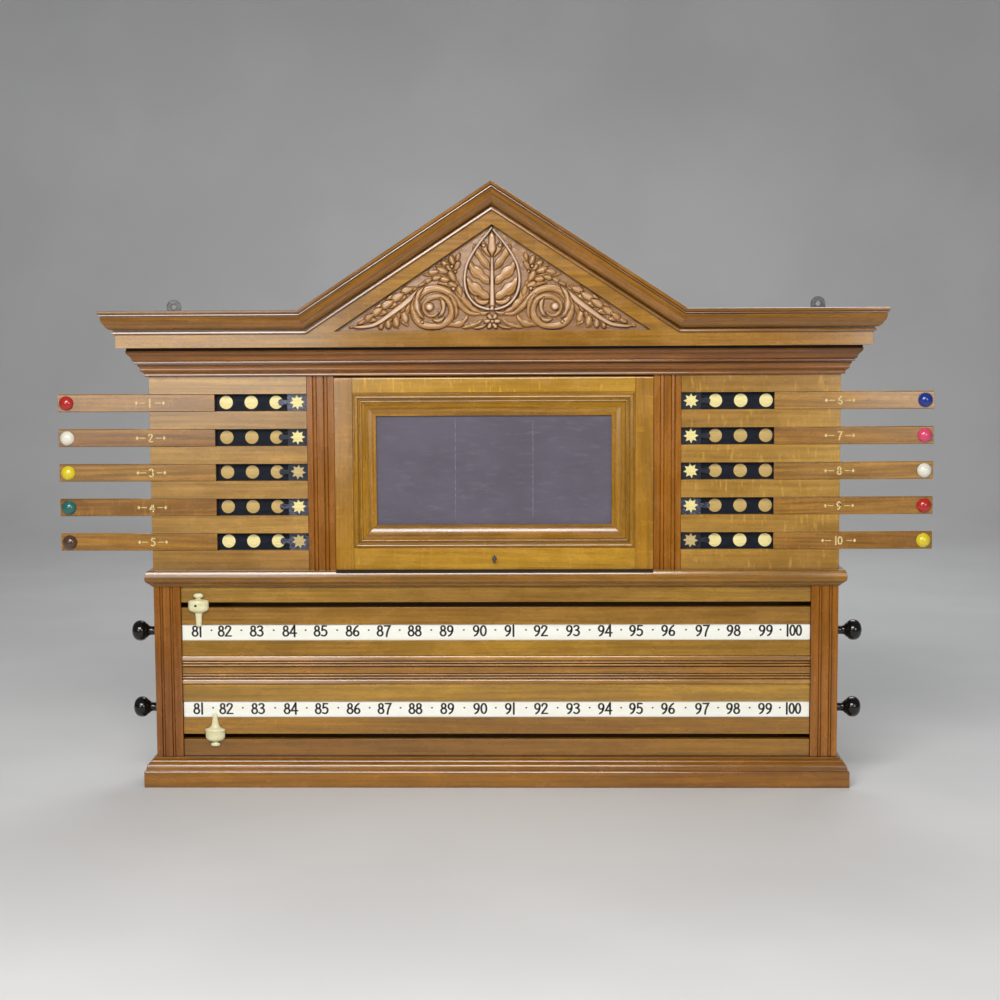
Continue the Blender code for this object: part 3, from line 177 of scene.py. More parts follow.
PAPER_FRONT = -0.96
PAPER_BACK = 4.0
PAPER_TOP = 4.6
PAPER_BEND = 0.9
PAPER_HALF_WIDTH = 4.5
paper = Finish("pale_paper", 0.85)
paper_cloud = paper.patches(1.7, 0.35, 0.65, 3, 0.5)
paper.set(Base_Color=paper.mix(tint(222, 221, 219), tint(229, 228, 226), paper_cloud))
paper_bend = [
    (PAPER_BACK - PAPER_BEND * (1 - math.sin(angle)), PAPER_BEND * (1 - math.cos(angle)))
    for angle in angles(24, math.pi / 2)
]
paper_points = [
    (across, out, up) for out, up in [(PAPER_FRONT, 0.0), *paper_bend, (PAPER_BACK, PAPER_TOP)]
    for across in (-PAPER_HALF_WIDTH, PAPER_HALF_WIDTH)
]
paper_faces = [(i, i + 1, i + 3, i + 2) for i in range(0, len(paper_points) - 2, 2)]
sheet = show("paper_sheet", (paper_points, paper_faces), paper.material)
sheet.data.shade_smooth()

sky = bpy.data.worlds.new("studio")
bpy.context.scene.world = sky
sky.use_nodes = True
sky_light = sky.node_tree.nodes["Background"].inputs
sky_light["Color"].default_value = (0.93, 0.96, 1.0, 1)
sky_light["Strength"].default_value = 0.14

for name, place, towards, width, height, power, colour in (
    ("left_lamp", (-1.05, -2.7, 0.94), (0, 0, 0.6), 1.1, 1.15, 13.5, (0.84, 0.93, 1.0)),
    ("right_lamp", (1.45, -2.6, 0.95), (0, 0, 0.6), 1.1, 1.1, 16, (0.86, 0.94, 1.0)),
    ("top_lamp", (-0.35, -2.2, 1.75), (0, 0, 0.5), 1.6, 0.8, 50, (1.0, 0.98, 0.97)),
    ("back_lamp", (0.5, 2.2, 2.8), (0, 0.4, 0.3), 1.8, 1.2, 34, (0.96, 0.98, 1.0)),
):
    light = bpy.data.lights.new(name, "AREA")
    light.shape = "RECTANGLE"
    light.size = width
    light.size_y = height
    light.energy = power
    light.color = colour
    lamp = place_in_room(name, light)
    lamp.location = place
    lamp.rotation_euler = (Vector(towards) - Vector(place)).to_track_quat("-Z", "Y").to_euler()

# ---- Case boards --------------------------------------------------------------------------
# Sides, shelves, back and partitions: plain oak boards, glued and screwed. Only the sides are
# polished; the rest was oiled once and has gone brown. Rows of iron screws hold the back.


def shifted(tone, *shares):
    """A colour with its red, green and blue each made more or less."""
    return tuple(min(part * share, 1) for part, share in zip(tone, shares)) + (1,)


def oak(name, tone, run="own", figure=1.0, fleck=0.0, gloss=0.25, crevice_shade=1.0, slant=0.0, coat=0.9,
        shadow_mark=None):
    """Oak with its rings, pores and rays, and painted shade that darkens it in narrow places. Run
    is
    the axis of the grain: X, Z, or "own" where the piece carries its grain with it. Slant leans the
    pores across the grain, and the last argument lays a painted black shadow on the wood."""
    wood = Finish(name, gloss)
    if run == "own":
        along = wood.node("Attribute", {}, "Vector", attribute_name="grain")
    else:
        turn = (0, math.pi / 2 if run == "Z" else 0, 0)
        along = wood.node("Mapping", {"Vector": wood.place(), "Rotation": turn})
    stretched = wood.vector("MULTIPLY", along, (3.0, 14.0, 14.0))
    sway = wood.node("TexNoise", {"Vector": stretched, "Scale": 1, "Detail": 2}, "Color")
    sway = wood.vector("MULTIPLY", sway, (0.006, 0.010, 0.010))
    grain = wood.vector("ADD", along, sway)
    length = wood.vector("DOT_PRODUCT", along, (1, 0, 0), "Value")
    lean = wood.node(
        "VectorMath", {0: (0, -slant, -slant), "Scale": length}, operation="SCALE"
    )
    leaning = wood.vector("ADD", grain, lean)
    broad = wood.patches((1.4, 12, 12), 0.30, 0.70, 3, 0.5, grain)
    rings = wood.noise((5, 210, 210), 4, 0.62, grain)
    dashes = wood.patches((85, 900, 900), 0.57, 0.68, 2, 0.6, leaning)
    pores = wood.patches((150, 2400, 2400), 0.58, 0.70, 1, 0.5, grain)
    clouds = wood.noise((18, 34, 34), 4, 0.6, along)
    colour = wood.mix(shifted(tone, 0.68, 0.61, 0.42), shifted(tone, 1.02, 1.03, 0.88), broad)
    colour = wood.shaded(colour, rings, 1 - 0.26 * figure, 1 + 0.18 * figure)
    colour = wood.shaded(colour, clouds, 0.90, 1.10, 0.30, 0.72)
    if fleck:
        rays = wood.patches((230, 42, 42), 0.58, 0.70, 2, 0.5, leaning)
        colour = wood.mix(colour, shifted(tone, 1.7, 1.7, 1.7), wood.times(rays, fleck))
    brown = shifted(tone, 0.34, 0.24, 0.16)
    colour = wood.mix(colour, brown, wood.times(dashes, 0.42 * figure))
    colour = wood.mix(colour, brown, wood.times(pores, 0.30 * figure))
    # Painted shade: in narrow places and corners the colour is darkened towards a deep brown, by
    # ambient occlusion
    open_share = wood.crevices(0.006, 0.25, 0.92)
    painted_shade = wood.node("Math", {0: 1.0, 1: open_share}, operation="SUBTRACT")
    colour = wood.mix(colour, shifted(tone, 0.14, 0.09, 0.06), wood.times(painted_shade, 0.9 * crevice_shade))
    roughness = wood.ramp(clouds, 0.3, 0.7, gloss - 0.05, gloss + 0.08)
    wood.set(Base_Color=colour, Roughness=roughness, Coat_Weight=coat, Coat_Roughness=0.12)
    hollows = wood.mix(rings, wood.mix(dashes, pores, 0.5), 0.6, "SUBTRACT")
    wood.relief(hollows, 0.00012, 0.5)
    # Painted shadow: a matt black line laid on the wood where shade falls
    if shadow_mark:
        shadow_mark(wood, colour)
    return wood.material


def ease(obj, width=0.0005, steps=2):
    """Takes the sharpness off every edge."""
    bevel = obj.modifiers.new("eased_edges", "BEVEL")
    bevel.width = width
    bevel.segments = steps
    bevel.limit_method = "ANGLE"
    bevel.angle_limit = math.radians(28)
    bevel.use_clamp_overlap = True
    return obj


def finish_node(node, material, width=0.0005):
    """Gives a board of the frame its wood, and takes the sharpness off its edges."""
    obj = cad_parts[node]
    obj.data.materials.clear()
    obj.data.materials.append(material)
    obj.modifiers.new("one_skin", "WELD").merge_threshold = 0.00002
    flat = obj.modifiers.new("flat_faces", "DECIMATE")
    flat.decimate_type = "DISSOLVE"
    flat.angle_limit = math.radians(0.5)
    if width:
        ease(obj, width)


side_oak = oak("side_oak", tint(150, 108, 56), "Z", fleck=0.15)
shelf_oak = oak("shelf_oak", tint(124, 88, 50), "X", gloss=0.6, coat=0.0)
upright_oak = oak("upright_oak", tint(124, 88, 50), "Z", gloss=0.6, coat=0.0)
for wood, boards in (
    (side_oak, ("case_side_left", "case_side_right")),
    (shelf_oak, ("back_board", "top_board", "bottom_board", "waist_shelf")),
    (upright_oak, ("cupboard_side_left", "cupboard_side_right")),
):
    for board in boards:
        finish_node(board, wood)
finish_node("front_top_rail", shelf_oak, 0)

iron = Finish("dull_iron", 0.45)
rust = iron.patches(420, 0.45, 0.7)
iron.set(
    Metallic=0.9, Base_Color=iron.mix(tint(104, 103, 102), tint(70, 62, 56), rust),
    Roughness=iron.ramp(rust, 0, 1, 0.34, 0.62),
)
iron.relief(iron.noise(900, 3), 0.0001, 0.6)


def skin(count, rings, looped=False):
    """Faces between rings of so many points, with the end rings closed or looped together."""
    faces = [
        (row * count + step, row * count + (step + 1) % count,
         (row + 1) % rings * count + (step + 1) % count, (row + 1) % rings * count + step)
        for row in range(rings if looped else rings - 1) for step in range(count)
    ]
    if looped:
        return faces
    return faces + [tuple(range(count)), tuple(range((rings - 1) * count, rings * count))]


def turning(rows, count, middle, facing="Y"):
    """Points and faces of (radius, rise) rows turned about an axis."""
    points = []
    for radius, rise in rows:
        for angle in angles(count, math.tau)[:-1]:
            across = radius * math.cos(angle)
            beside = radius * math.sin(angle)
            spot = {"Y": (across, -rise, beside), "X": (rise, across, beside),
                    "-X": (-rise, -across, beside)}[facing]
            points.append(Vector([part + start for part, start in zip(spot, middle)]))
    return points, skin(count, len(rows))


def join(forms):
    """Several (points, faces) pairs as one."""
    points = []
    faces = []
    for some_points, some_faces in forms:
        faces += [tuple(len(points) + corner for corner in face) for face in some_faces]
        points += some_points
    return points, faces


def tidy(obj, angle=35):
    """Outward faces, and smooth shading that breaks at sharp edges."""
    form = bmesh.new()
    form.from_mesh(obj.data)
    bmesh.ops.remove_doubles(form, verts=form.verts, dist=0.000001)
    bmesh.ops.recalc_face_normals(form, faces=form.faces)
    form.to_mesh(obj.data)
    form.free()
    obj.data.shade_smooth()
    obj.data.set_sharp_from_angle(angle=math.radians(angle))
    return obj


def fit(obj, body, slot, *nodes):
    """Rides on its body, and stands for the nodes that it covers. The slot is not used."""
    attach(obj, body)
    if nodes:
        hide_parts(*nodes)


BACK_FACE_Y = 0.077
SCREW_HEIGHTS = (0.034, 0.24, 0.45, 0.695)
SCREW_PLACES = (-0.475, -0.26, 0, 0.26, 0.475)
SCREW_ROWS = [
    (0.0002, -0.0003), (0.00252, -0.0003), (0.0036, -0.0001), (0.00288, 0.0008), (0.0002, 0.0008),
]
screws = [
    turning(SCREW_ROWS, 20, (across, BACK_FACE_Y, height))
    for height in SCREW_HEIGHTS for across in SCREW_PLACES
]
fit(tidy(show("back_screws", join(screws), iron.material)), "case", "dull_iron")

# ---- Plinth, waist and bed mouldings ------------------------------------------------------
# Each is worked in three lengths of oak, mitred at the front corners and planted on the case
# with glue and pins. Their hollows are darkened with painted shade; the beads are rubbed bright.
HALF_WIDTH = 0.510
FRONT_Y = -0.013
GAP = 0.0003
PLINTH_TOP = 0.0441
WAIST_BOTTOM = 0.3021
WAIST_TOP = 0.3256
CASE_TOP = 0.6151
BED_TOP = 0.6581
FLAP_HALF_WIDTH = 0.2355
MITRE_LINE = 0.00006


def rounded_line(rows, width, height, steps=12):
    """Points from (width share, height share, bulge) rows: a bulge curves the way there."""
    points = []
    for across_share, up_share, bulge in rows:
        end = Vector((across_share * width, up_share * height))
        if bulge and points:
            start = points[-1]
            side = Vector((end.y - start.y, start.x - end.x)) * bulge
            for step in range(1, steps):
                part = step / steps
                points.append(start.lerp(end, part) + side * 4 * part * (1 - part) / 2)
        points.append(end)
    return points


def carry_grain(obj, along, start=0.0):
    """Keeps with each point its place along and across the grain of its own board."""
    along = Vector(along).normalized()
    beside = along.orthogonal().normalized()
    if abs(along.y) < 0.9:
        beside = along.cross(Vector((0, 1, 0))).normalized()
    third = along.cross(beside)
    places = np.array([point.co for point in obj.data.vertices])
    turned = places @ np.array([along, beside, third]).T + start
    layer = obj.data.attributes.new("grain", "FLOAT_VECTOR", "POINT")
    layer.data.foreach_set("vector", turned.astype(np.float32).ravel())


def mould(name, section, corners, facings, wood, body, start, closed=False):
    """Fits a moulding in lengths from corner to corner, mitred where one meets the next."""
    corners = [Vector(corner) for corner in corners]
    count = len(facings)
    total = len(corners)
    runs = [(corners[(i + 1) % total] - corners[i]).normalized() for i in range(count)]
    for i, run in enumerate(runs):
        facing = Vector(facings[i])
        up = facing.cross(run)
        points = []
        for end, neighbour, push in ((i, i - 1, MITRE_LINE), (i + 1, i + 1, -MITRE_LINE)):
            meets = closed or 0 <= neighbour < count
            across = (run + (runs[neighbour % count] if meets else run)).normalized()
            for out, rise in section:
                point = facing * out + up * rise
                slide = point.dot(across) / run.dot(across)
                points.append(corners[end % total] + point + run * (push - slide))
        length = tidy(show(f"{name}_{i + 1}", (points, skin(len(section), 2)), wood), 24)
        carry_grain(length, run, start + 0.37 * (i + 1))
        fit(ease(length, 0.00022, 1), body, "polished_oak", name)


BED_SHARES = (
    (0.02, 0.0, 0), (0.13, 0.0, 0), (0.17, 0.075, 0.45), (0.17, 0.09, 0), (0.31, 0.175, -0.2),
    (0.31, 0.19, 0), (0.37, 0.265, 0.45), (0.37, 0.285, 0), (0.47, 0.385, -0.2),
    (0.49, 0.40, 0), (0.46, 0.41, 0), (0.46, 0.44, 0), (0.60, 0.45, 0), (0.59, 0.53, 0.1),
    (0.68, 0.545, 0), (0.84, 0.74, -0.18), (0.955, 0.885, 0.22), (0.96, 0.90, 0),
    (0.92, 0.905, 0), (0.92, 0.993, 0), (0.02, 0.993, 0),
)
WAIST_SHARES = (
    (0.05, 0.0, 0), (0.20, 0.0, 0), (0.20, 0.06, 0), (0.34, 0.08, 0), (0.62, 0.22, -0.2),
    (0.70, 0.24, 0), (0.70, 0.28, 0), (0.98, 0.44, 0.3), (1.0, 0.50, 0.1), (0.85, 0.93, 0.12),
    (0.62, 1.03, 0.25), (0.30, 1.045, 0), (0.05, 1.045, 0),
)
PLINTH_SHARES = (
    (0.02, 0.0, 0), (1.0, 0.0, 0), (1.0, 0.53, 0), (0.96, 0.56, 0), (0.84, 0.56, 0),
    (0.82, 0.66, -0.1), (0.64, 0.81, 0.2), (0.62, 0.82, 0), (0.48, 0.88, -0.2),
    (0.46, 0.90, 0), (0.24, 0.945, 0), (0.24, 1.0, 0), (0.02, 1.0, 0),
)


def blacken(wood, colour, shadow_tone, share, gloss, matt):
    """Paints a matt black shadow on the wood where the share is one."""
    wood.set(
        Base_Color=wood.mix(colour, shadow_tone, wood.times(share, 0.97)),
        Coat_Weight=wood.ramp(share, 0, 1, 0.9, 0), Roughness=wood.ramp(share, 0, 1, gloss, matt),
    )


def flap_line(wood, colour):
    """A painted black shadow along the top of the waist, where the flap's foot closes down on it.
    """
    place = wood.node("SeparateXYZ", {0: wood.place()}).node.outputs
    beside = wood.node("Math", {0: place["X"]}, operation="ABSOLUTE")
    under = wood.times(
        wood.ramp(beside, FLAP_HALF_WIDTH - 0.001, FLAP_HALF_WIDTH, 1, 0),
        wood.ramp(place["Z"], WAIST_TOP - 0.0031, WAIST_TOP - 0.0025),
    )
    # Painted shadow: the waist's top turns matt black under the flap's foot
    blacken(wood, colour, tint(20, 8, 4), under, 0.20, 0.8)


def frieze_line(wood, colour):
    """A painted black shadow in the corner where the bed moulding meets the frieze."""
    height = wood.node("SeparateXYZ", {0: wood.place()}, "Z")
    corner = wood.ramp(height, BED_TOP - 0.0046, BED_TOP - 0.0038)
    # Painted shadow: the top of the bed moulding turns matt black under the frieze
    blacken(wood, colour, tint(22, 10, 6), corner, 0.22, 0.85)


plinth_oak = oak("plinth_oak", tint(154, 100, 14), gloss=0.22, coat=0.6)
waist_oak = oak("waist_oak", tint(150, 102, 30), gloss=0.20, shadow_mark=flap_line)
bed_oak = oak("bed_oak", tint(142, 85, 12), gloss=0.22, shadow_mark=frieze_line)
for name, shares, projection, foot, height, wood in (
    ("plinth_moulding", PLINTH_SHARES, 0.017, 0.0, PLINTH_TOP - GAP, plinth_oak),
    ("waist_moulding", WAIST_SHARES, 0.0112, WAIST_BOTTOM, WAIST_TOP - WAIST_BOTTOM, waist_oak),
    ("bed_moulding", BED_SHARES, 0.029, CASE_TOP, BED_TOP - CASE_TOP, bed_oak),
):
    path = [
        (-HALF_WIDTH, BACK_FACE_Y, foot), (-HALF_WIDTH, FRONT_Y, foot),
        (HALF_WIDTH, FRONT_Y, foot), (HALF_WIDTH, BACK_FACE_Y, foot),
    ]
    section = rounded_line(shares, projection, height)
    mould(name, section, path, [(-1, 0, 0), (0, -1, 0), (1, 0, 0)], wood, "case", foot)

# ---- Life boards --------------------------------------------------------------------------
# Left and right, a board ploughed with five stepped channels: a groove for the bar's tongues
# and a rebate for the star tablet. The channel floors are stained blue-black, and three discs
# of box are let into each.
SIDES = (("left", -1), ("right", 1))
BAR_HEIGHTS = [CASE_TOP - 0.0388 - row * 0.0518 for row in range(5)]
BAR_HALF_HEIGHT = 0.01235
BAR_PLAY = 0.0004
GROOVE_DEPTH = 0.0012
TONGUE_GROOVE_Y = (-0.0099, -0.0063)
TABLET_REBATE_Y = -0.005
CHANNEL_FLOOR_Y = -0.0021
LIFE_BACK_Y = 0.0059
WINDOW_X = 0.276
DISC_PLACES = (0.325, 0.36225, 0.3995)
DISC_SHIFT = 0.0022
DISC_ROWS = [(0.0002, 0.00022), (0.0094, 0.0002), (0.0099, 0.0001), (0.01, -0.0004)]


def prism(outline, axis, low, high):
    """Points and faces of an outline in the plane across an axis, pushed along it."""
    order = {"X": lambda a, b, t: (t, a, b), "Y": lambda a, b, t: (a, t, b),
             "Z": lambda a, b, t: (a, b, t)}[axis]
    points = [Vector(order(a, b, end)) for end in (low, high) for a, b in outline]
    return points, skin(len(outline), 2)


def mirrored(half, middle):
    """A profile of (depth, rise) points above a middle line, and the same below it."""
    return [(depth, middle + rise) for depth, rise in half] + [
        (depth, middle - rise) for depth, rise in reversed(half)
    ]


def life_section():
    """A life board's end view: its back, and a stepped channel for each bar in its front."""
    opening = BAR_HALF_HEIGHT + BAR_PLAY
    groove = opening + GROOVE_DEPTH
    front, back = TONGUE_GROOVE_Y
    half = [
        (FRONT_Y, opening), (front, opening), (front, groove), (back, groove), (back, opening),
        (TABLET_REBATE_Y, opening), (TABLET_REBATE_Y, groove), (CHANNEL_FLOOR_Y, groove),
    ]
    section = [(LIFE_BACK_Y, WAIST_TOP), (LIFE_BACK_Y, CASE_TOP), (FRONT_Y, CASE_TOP)]
    for middle in BAR_HEIGHTS:
        section += mirrored(half, middle)
    return section + [(FRONT_Y, WAIST_TOP)]


life_oak = {
    "left": oak("left_life_oak", tint(184, 138, 68), "X", slant=0.5),
    "right": oak("right_life_oak", tint(189, 143, 60), "X", fleck=0.3, slant=0.5, figure=0.8),
}
channel_black = Finish("channel_black", 0.5)
channel_scuff = channel_black.patches((60, 500, 900), 0.4, 0.72)
channel_black.set(
    Base_Color=channel_black.mix(tint(10, 12, 20), tint(28, 34, 52), channel_scuff),
    Specular_IOR_Level=0.18,
)
channel_black.relief(channel_scuff, 0.0001, 0.4)


def boxwood(name, tone):
    """Fine pale wood, with painted shade darkening the rim round each inlay."""
    pale = Finish(name, 0.36)
    grain = pale.noise((60, 900, 1300), 4, 0.6)
    colour = pale.shaded(tone, grain, 0.82, 1.06)
    # Painted shade: the wood darkens to brown in narrow places, by ambient occlusion
    pale.set(Base_Color=pale.mix(tint(110, 80, 40), colour, pale.crevices(0.0015, 0.2, 0.9)))
    pale.relief(grain, 0.00005, 0.5)
    return pale.material


paler_box = boxwood("paler_boxwood", tint(250, 232, 160))
darker_box = boxwood("brown_boxwood", tint(206, 172, 102))
# The paler boxwood on the first and last rows is a painted highlight, standing for the brighter
# light on those rows; the other rows take the darker boxwood
DISC_WOODS = (paler_box, darker_box, darker_box, darker_box, paler_box)

for side, sign in SIDES:
    ends = sorted((sign * (WINDOW_X + GAP), sign * HALF_WIDTH))
    rails = prism(life_section(), "X", *ends)
    board = tidy(show(f"life_rails_{side}", rails, life_oak[side], channel_black.material))
    # The floors of the channels are stained black; their walls take the same black as painted
    # shade. The front and the back stay oak
    for face in board.data.polygons:
        in_channel = TABLET_REBATE_Y - 0.0005 < face.center.y < LIFE_BACK_Y - 0.001
        if in_channel and face.area < 0.02 and abs(face.normal.x) < 0.5:
            face.material_index = 1
    fit(ease(board, 0.0003, 1), "case", "polished_oak", f"life_board_{side}")
    for row, middle in enumerate(BAR_HEIGHTS):
        discs = join([
            turning(DISC_ROWS, 40, (sign * across + DISC_SHIFT, CHANNEL_FLOOR_Y, middle))
            for across in DISC_PLACES
        ])
        inlay = tidy(show(f"life_discs_{side}_{row + 1}", discs, DISC_WOODS[row]))
        fit(inlay, "case", "ivorine")

# ---- Life bars ----------------------------------------------------------------------------
# Ten oak bars with a tongue along each edge. Each has a turned and lacquered finger button
# pegged in near its outer end, and its number in gold size beside the channel.
BAR_OUT_X = 0.6465
BAR_IN_X = 0.413
BAR_BACK_Y = -0.005
TONGUE_Y = (-0.0095, -0.0067)
TONGUE = 0.0008
BUTTON_X = 0.6335
NUMBER_X = 0.509
FIGURE_HEIGHT = 0.0122
FIGURE_STROKE = 0.0021
FIGURE_GAP = 0.0010
FIGURE_SPREAD = 1.1
DASH_AWAY = FIGURE_HEIGHT * 0.40
DASH_SHIFT = 0.0034
DASH_LENGTH = 0.0075
DASH_WIDTH = 0.0017
DIAMOND_AWAY = 0.0118
DIAMOND_HALF_WIDTH = 0.0024
DIAMOND_HALF_HEIGHT = 0.0030
PAINT_LIFT = 0.00003
PAINT_FILM = 0.00004
LEVEL_STROKE = 0.74
SHARPEST_BEND = 0.55
BARS = [
    (5 * half + row + 1, sign, middle)
    for half, sign in enumerate((-1, 1)) for row, middle in enumerate(BAR_HEIGHTS)
]


def oval(middle_x, middle_y, half_width, half_height):
    return [
        (middle_x + half_width * math.sin(angle), middle_y + half_height * math.cos(angle))
        for angle in angles(22, math.tau)[:-1]
    ] + [(middle_x, middle_y + half_height)]


# The width and the brush strokes of each figure, in a box one high
FIGURES = {
    "0": (0.52, [oval(0.26, 0.5, 0.205, 0.445)]),
    "1": (0.26, [[(0.13, 0.0), (0.13, 1.0)]]),
    "2": (0.54, [[(0.06, 0.74), (0.09, 0.86), (0.16, 0.93), (0.27, 0.95), (0.38, 0.91),
                  (0.44, 0.82), (0.43, 0.70), (0.36, 0.55), (0.25, 0.38), (0.13, 0.20),
                  (0.05, 0.05)],
                 [(0.03, 0.05), (0.50, 0.05)]]),
    "3": (0.52, [[(0.06, 0.84), (0.15, 0.93), (0.27, 0.95), (0.38, 0.90), (0.43, 0.79),
                  (0.39, 0.66), (0.30, 0.57), (0.20, 0.55)],
                 [(0.20, 0.55), (0.34, 0.52), (0.44, 0.42), (0.46, 0.27), (0.40, 0.13),
                  (0.28, 0.05), (0.15, 0.06), (0.04, 0.14)]]),
    "4": (0.56, [[(0.38, 0.97), (0.04, 0.30), (0.54, 0.30)], [(0.39, 1.0), (0.39, 0.0)]]),
    "5": (0.52, [[(0.45, 0.95), (0.13, 0.95), (0.10, 0.56)],
                 [(0.10, 0.56), (0.20, 0.61), (0.32, 0.60), (0.42, 0.51), (0.46, 0.35),
                  (0.42, 0.18), (0.32, 0.07), (0.19, 0.05), (0.05, 0.12)]]),
    "6": (0.53, [[(0.40, 0.95), (0.26, 0.84), (0.14, 0.65), (0.07, 0.42), (0.07, 0.23),
                  (0.14, 0.10), (0.26, 0.05), (0.38, 0.09), (0.45, 0.21), (0.45, 0.35),
                  (0.38, 0.47), (0.27, 0.51), (0.15, 0.46), (0.08, 0.34)]]),
    "7": (0.52, [[(0.04, 0.95), (0.48, 0.95), (0.34, 0.62), (0.25, 0.32), (0.21, 0.0)]]),
    "8": (0.52, [oval(0.26, 0.74, 0.155, 0.205), oval(0.26, 0.28, 0.205, 0.235)]),
    "9": (0.53, [oval(0.26, 0.69, 0.19, 0.255),
                 [(0.45, 0.68), (0.44, 0.50), (0.38, 0.30), (0.28, 0.13), (0.14, 0.04)]]),
}


def ribbon(line, width):
    """A flat brush stroke along a line, with round ends; level strokes are thinner."""
    line = [Vector(point) for point in line]
    closed = (line[0] - line[-1]).length < width * 0.01
    if closed:
        line = line[:-1]
    count = len(line)
    left = []
    right = []
    for i, point in enumerate(line):
        before = line[i - 1] if closed or i else point
        after = line[(i + 1) % count] if closed or i < count - 1 else point
        way_in = (point - before).normalized() if (point - before).length else None
        way_out = (after - point).normalized() if (after - point).length else None
        way_in, way_out = way_in or way_out, way_out or way_in
        way = (way_in + way_out).normalized()
        side = Vector((-way.y, way.x))
        bend = abs(side.dot(Vector((-way_out.y, way_out.x))))
        thinned = LEVEL_STROKE + (1 - LEVEL_STROKE) * abs(way.y)
        reach = width / 2 / max(bend, SHARPEST_BEND) * thinned
        left.append(point + side * reach)
        right.append(point - side * reach)
    points = left + right
    stretches = range(count if closed else count - 1)
    faces = [(i, (i + 1) % count, count + (i + 1) % count, count + i) for i in stretches]
    if not closed:
        for end, inward in ((0, 1), (count - 1, -1)):
            way = (line[end] - line[end + inward]).normalized()
            side = Vector((-way.y, way.x))
            thinned = LEVEL_STROKE + (1 - LEVEL_STROKE) * abs(way.y)
            first = len(points)
            for angle in angles(5, math.pi)[1:-1]:
                turned = side * math.cos(angle) + way * math.sin(angle)
                points.append(line[end] + turned * width / 2 * thinned)
            sides = (end, count + end) if inward < 0 else (count + end, end)
            faces.append((sides[0], *range(first, first + 4), sides[1]))
    return points, faces


def figures(text, height, stroke, gap, breadth=1.0):
    """The strokes of a number, centred, as flat (across, up) meshes."""
    widths = [FIGURES[figure][0] * height * breadth for figure in text]
    across = -(sum(widths) + gap * (len(text) - 1)) / 2
    made = []
    for figure, width in zip(text, widths):
        for line in FIGURES[figure][1]:
            placed = [(across + x * height * breadth, (y - 0.5) * height) for x, y in line]
            made.append(ribbon(placed, stroke))
        across += width + gap
    return made


def painted(name, strokes, start, paint, up=(0, 0, 1)):
    """A film of paint: flat strokes laid on a face from its start, along X and up it."""
    laid = [
        ([start + Vector((x, 0, 0)) + Vector(up) * y for x, y in points], faces)
        for points, faces in strokes
    ]
    obj = show(name, join(laid), paint.material)
    film = obj.modifiers.new("film", "SOLIDIFY")
    film.thickness = PAINT_FILM
    film.offset = 0
    return obj


bar_oak = [
    oak("bar_oak_1", tint(178, 128, 54), slant=0.5, figure=1.4),
    oak("bar_oak_2", tint(172, 120, 42), slant=0.6, figure=1.4),
    oak("bar_oak_3", tint(163, 112, 36), slant=0.7, fleck=0.25, figure=1.4),
]
gold = Finish("gold_size", 0.45)
gold_wear = gold.patches(700, 0.46, 0.62, 3)
gold.set(Base_Color=gold.mix(tint(232, 214, 150), tint(190, 152, 84), gold_wear))


def lacquer(name, colour, worn):
    coat = Finish(f"{name}_lacquer", 0.16)
    rub = coat.patches(260, 0.5, 0.72, 4, 0.65)
    # Painted shade: the lacquer darkens to a third of its colour in narrow places, by ambient
    # occlusion
    body = coat.mix(shifted(colour, 0.35, 0.35, 0.35), colour, coat.crevices(0.003, 0.25, 0.9))
    coat.set(
        Base_Color=coat.mix(body, worn, coat.times(rub, 0.28)),
        Roughness=coat.ramp(rub, 0, 1, 0.13, 0.3), Coat_Weight=0.5, Coat_Roughness=0.08,
    )
    return coat.material


LACQUERS = {
    name: lacquer(name, tint(*colour), tint(*worn)) for name, colour, worn in (
        ("red", (186, 40, 32), (120, 30, 20)), ("white", (236, 231, 212), (196, 184, 150)),
        ("yellow", (228, 204, 40), (190, 160, 30)), ("green", (40, 104, 96), (24, 60, 50)),
        ("brown", (84, 58, 40), (52, 34, 24)), ("blue", (30, 52, 138), (20, 30, 84)),
        ("pink", (222, 74, 110), (178, 50, 80)),
    )
}
BUTTON_COLOURS = (
    "red", "white", "yellow", "green", "brown", "blue", "pink", "white", "red", "yellow",
)
BUTTON_ROWS = [
    (0.0002, 0.0075), (0.0020, 0.00738), (0.0038, 0.0070), (0.0055, 0.0063), (0.0070, 0.0054),
    (0.0083, 0.0043), (0.0094, 0.0031), (0.0102, 0.0019), (0.0107, 0.0009), (0.0107, 0.0002),
    (0.0103, 0.0000), (0.0100, -0.0004),
]
BAR_BOARDS = (2, 1, 0, 2, 1, 0, 1, 0, 2, 2)
BAR_HALF = [
    (FRONT_Y, BAR_HALF_HEIGHT), (TONGUE_Y[0], BAR_HALF_HEIGHT),
    (TONGUE_Y[0], BAR_HALF_HEIGHT + TONGUE), (TONGUE_Y[1], BAR_HALF_HEIGHT + TONGUE),
    (TONGUE_Y[1], BAR_HALF_HEIGHT), (BAR_BACK_Y, BAR_HALF_HEIGHT),
]
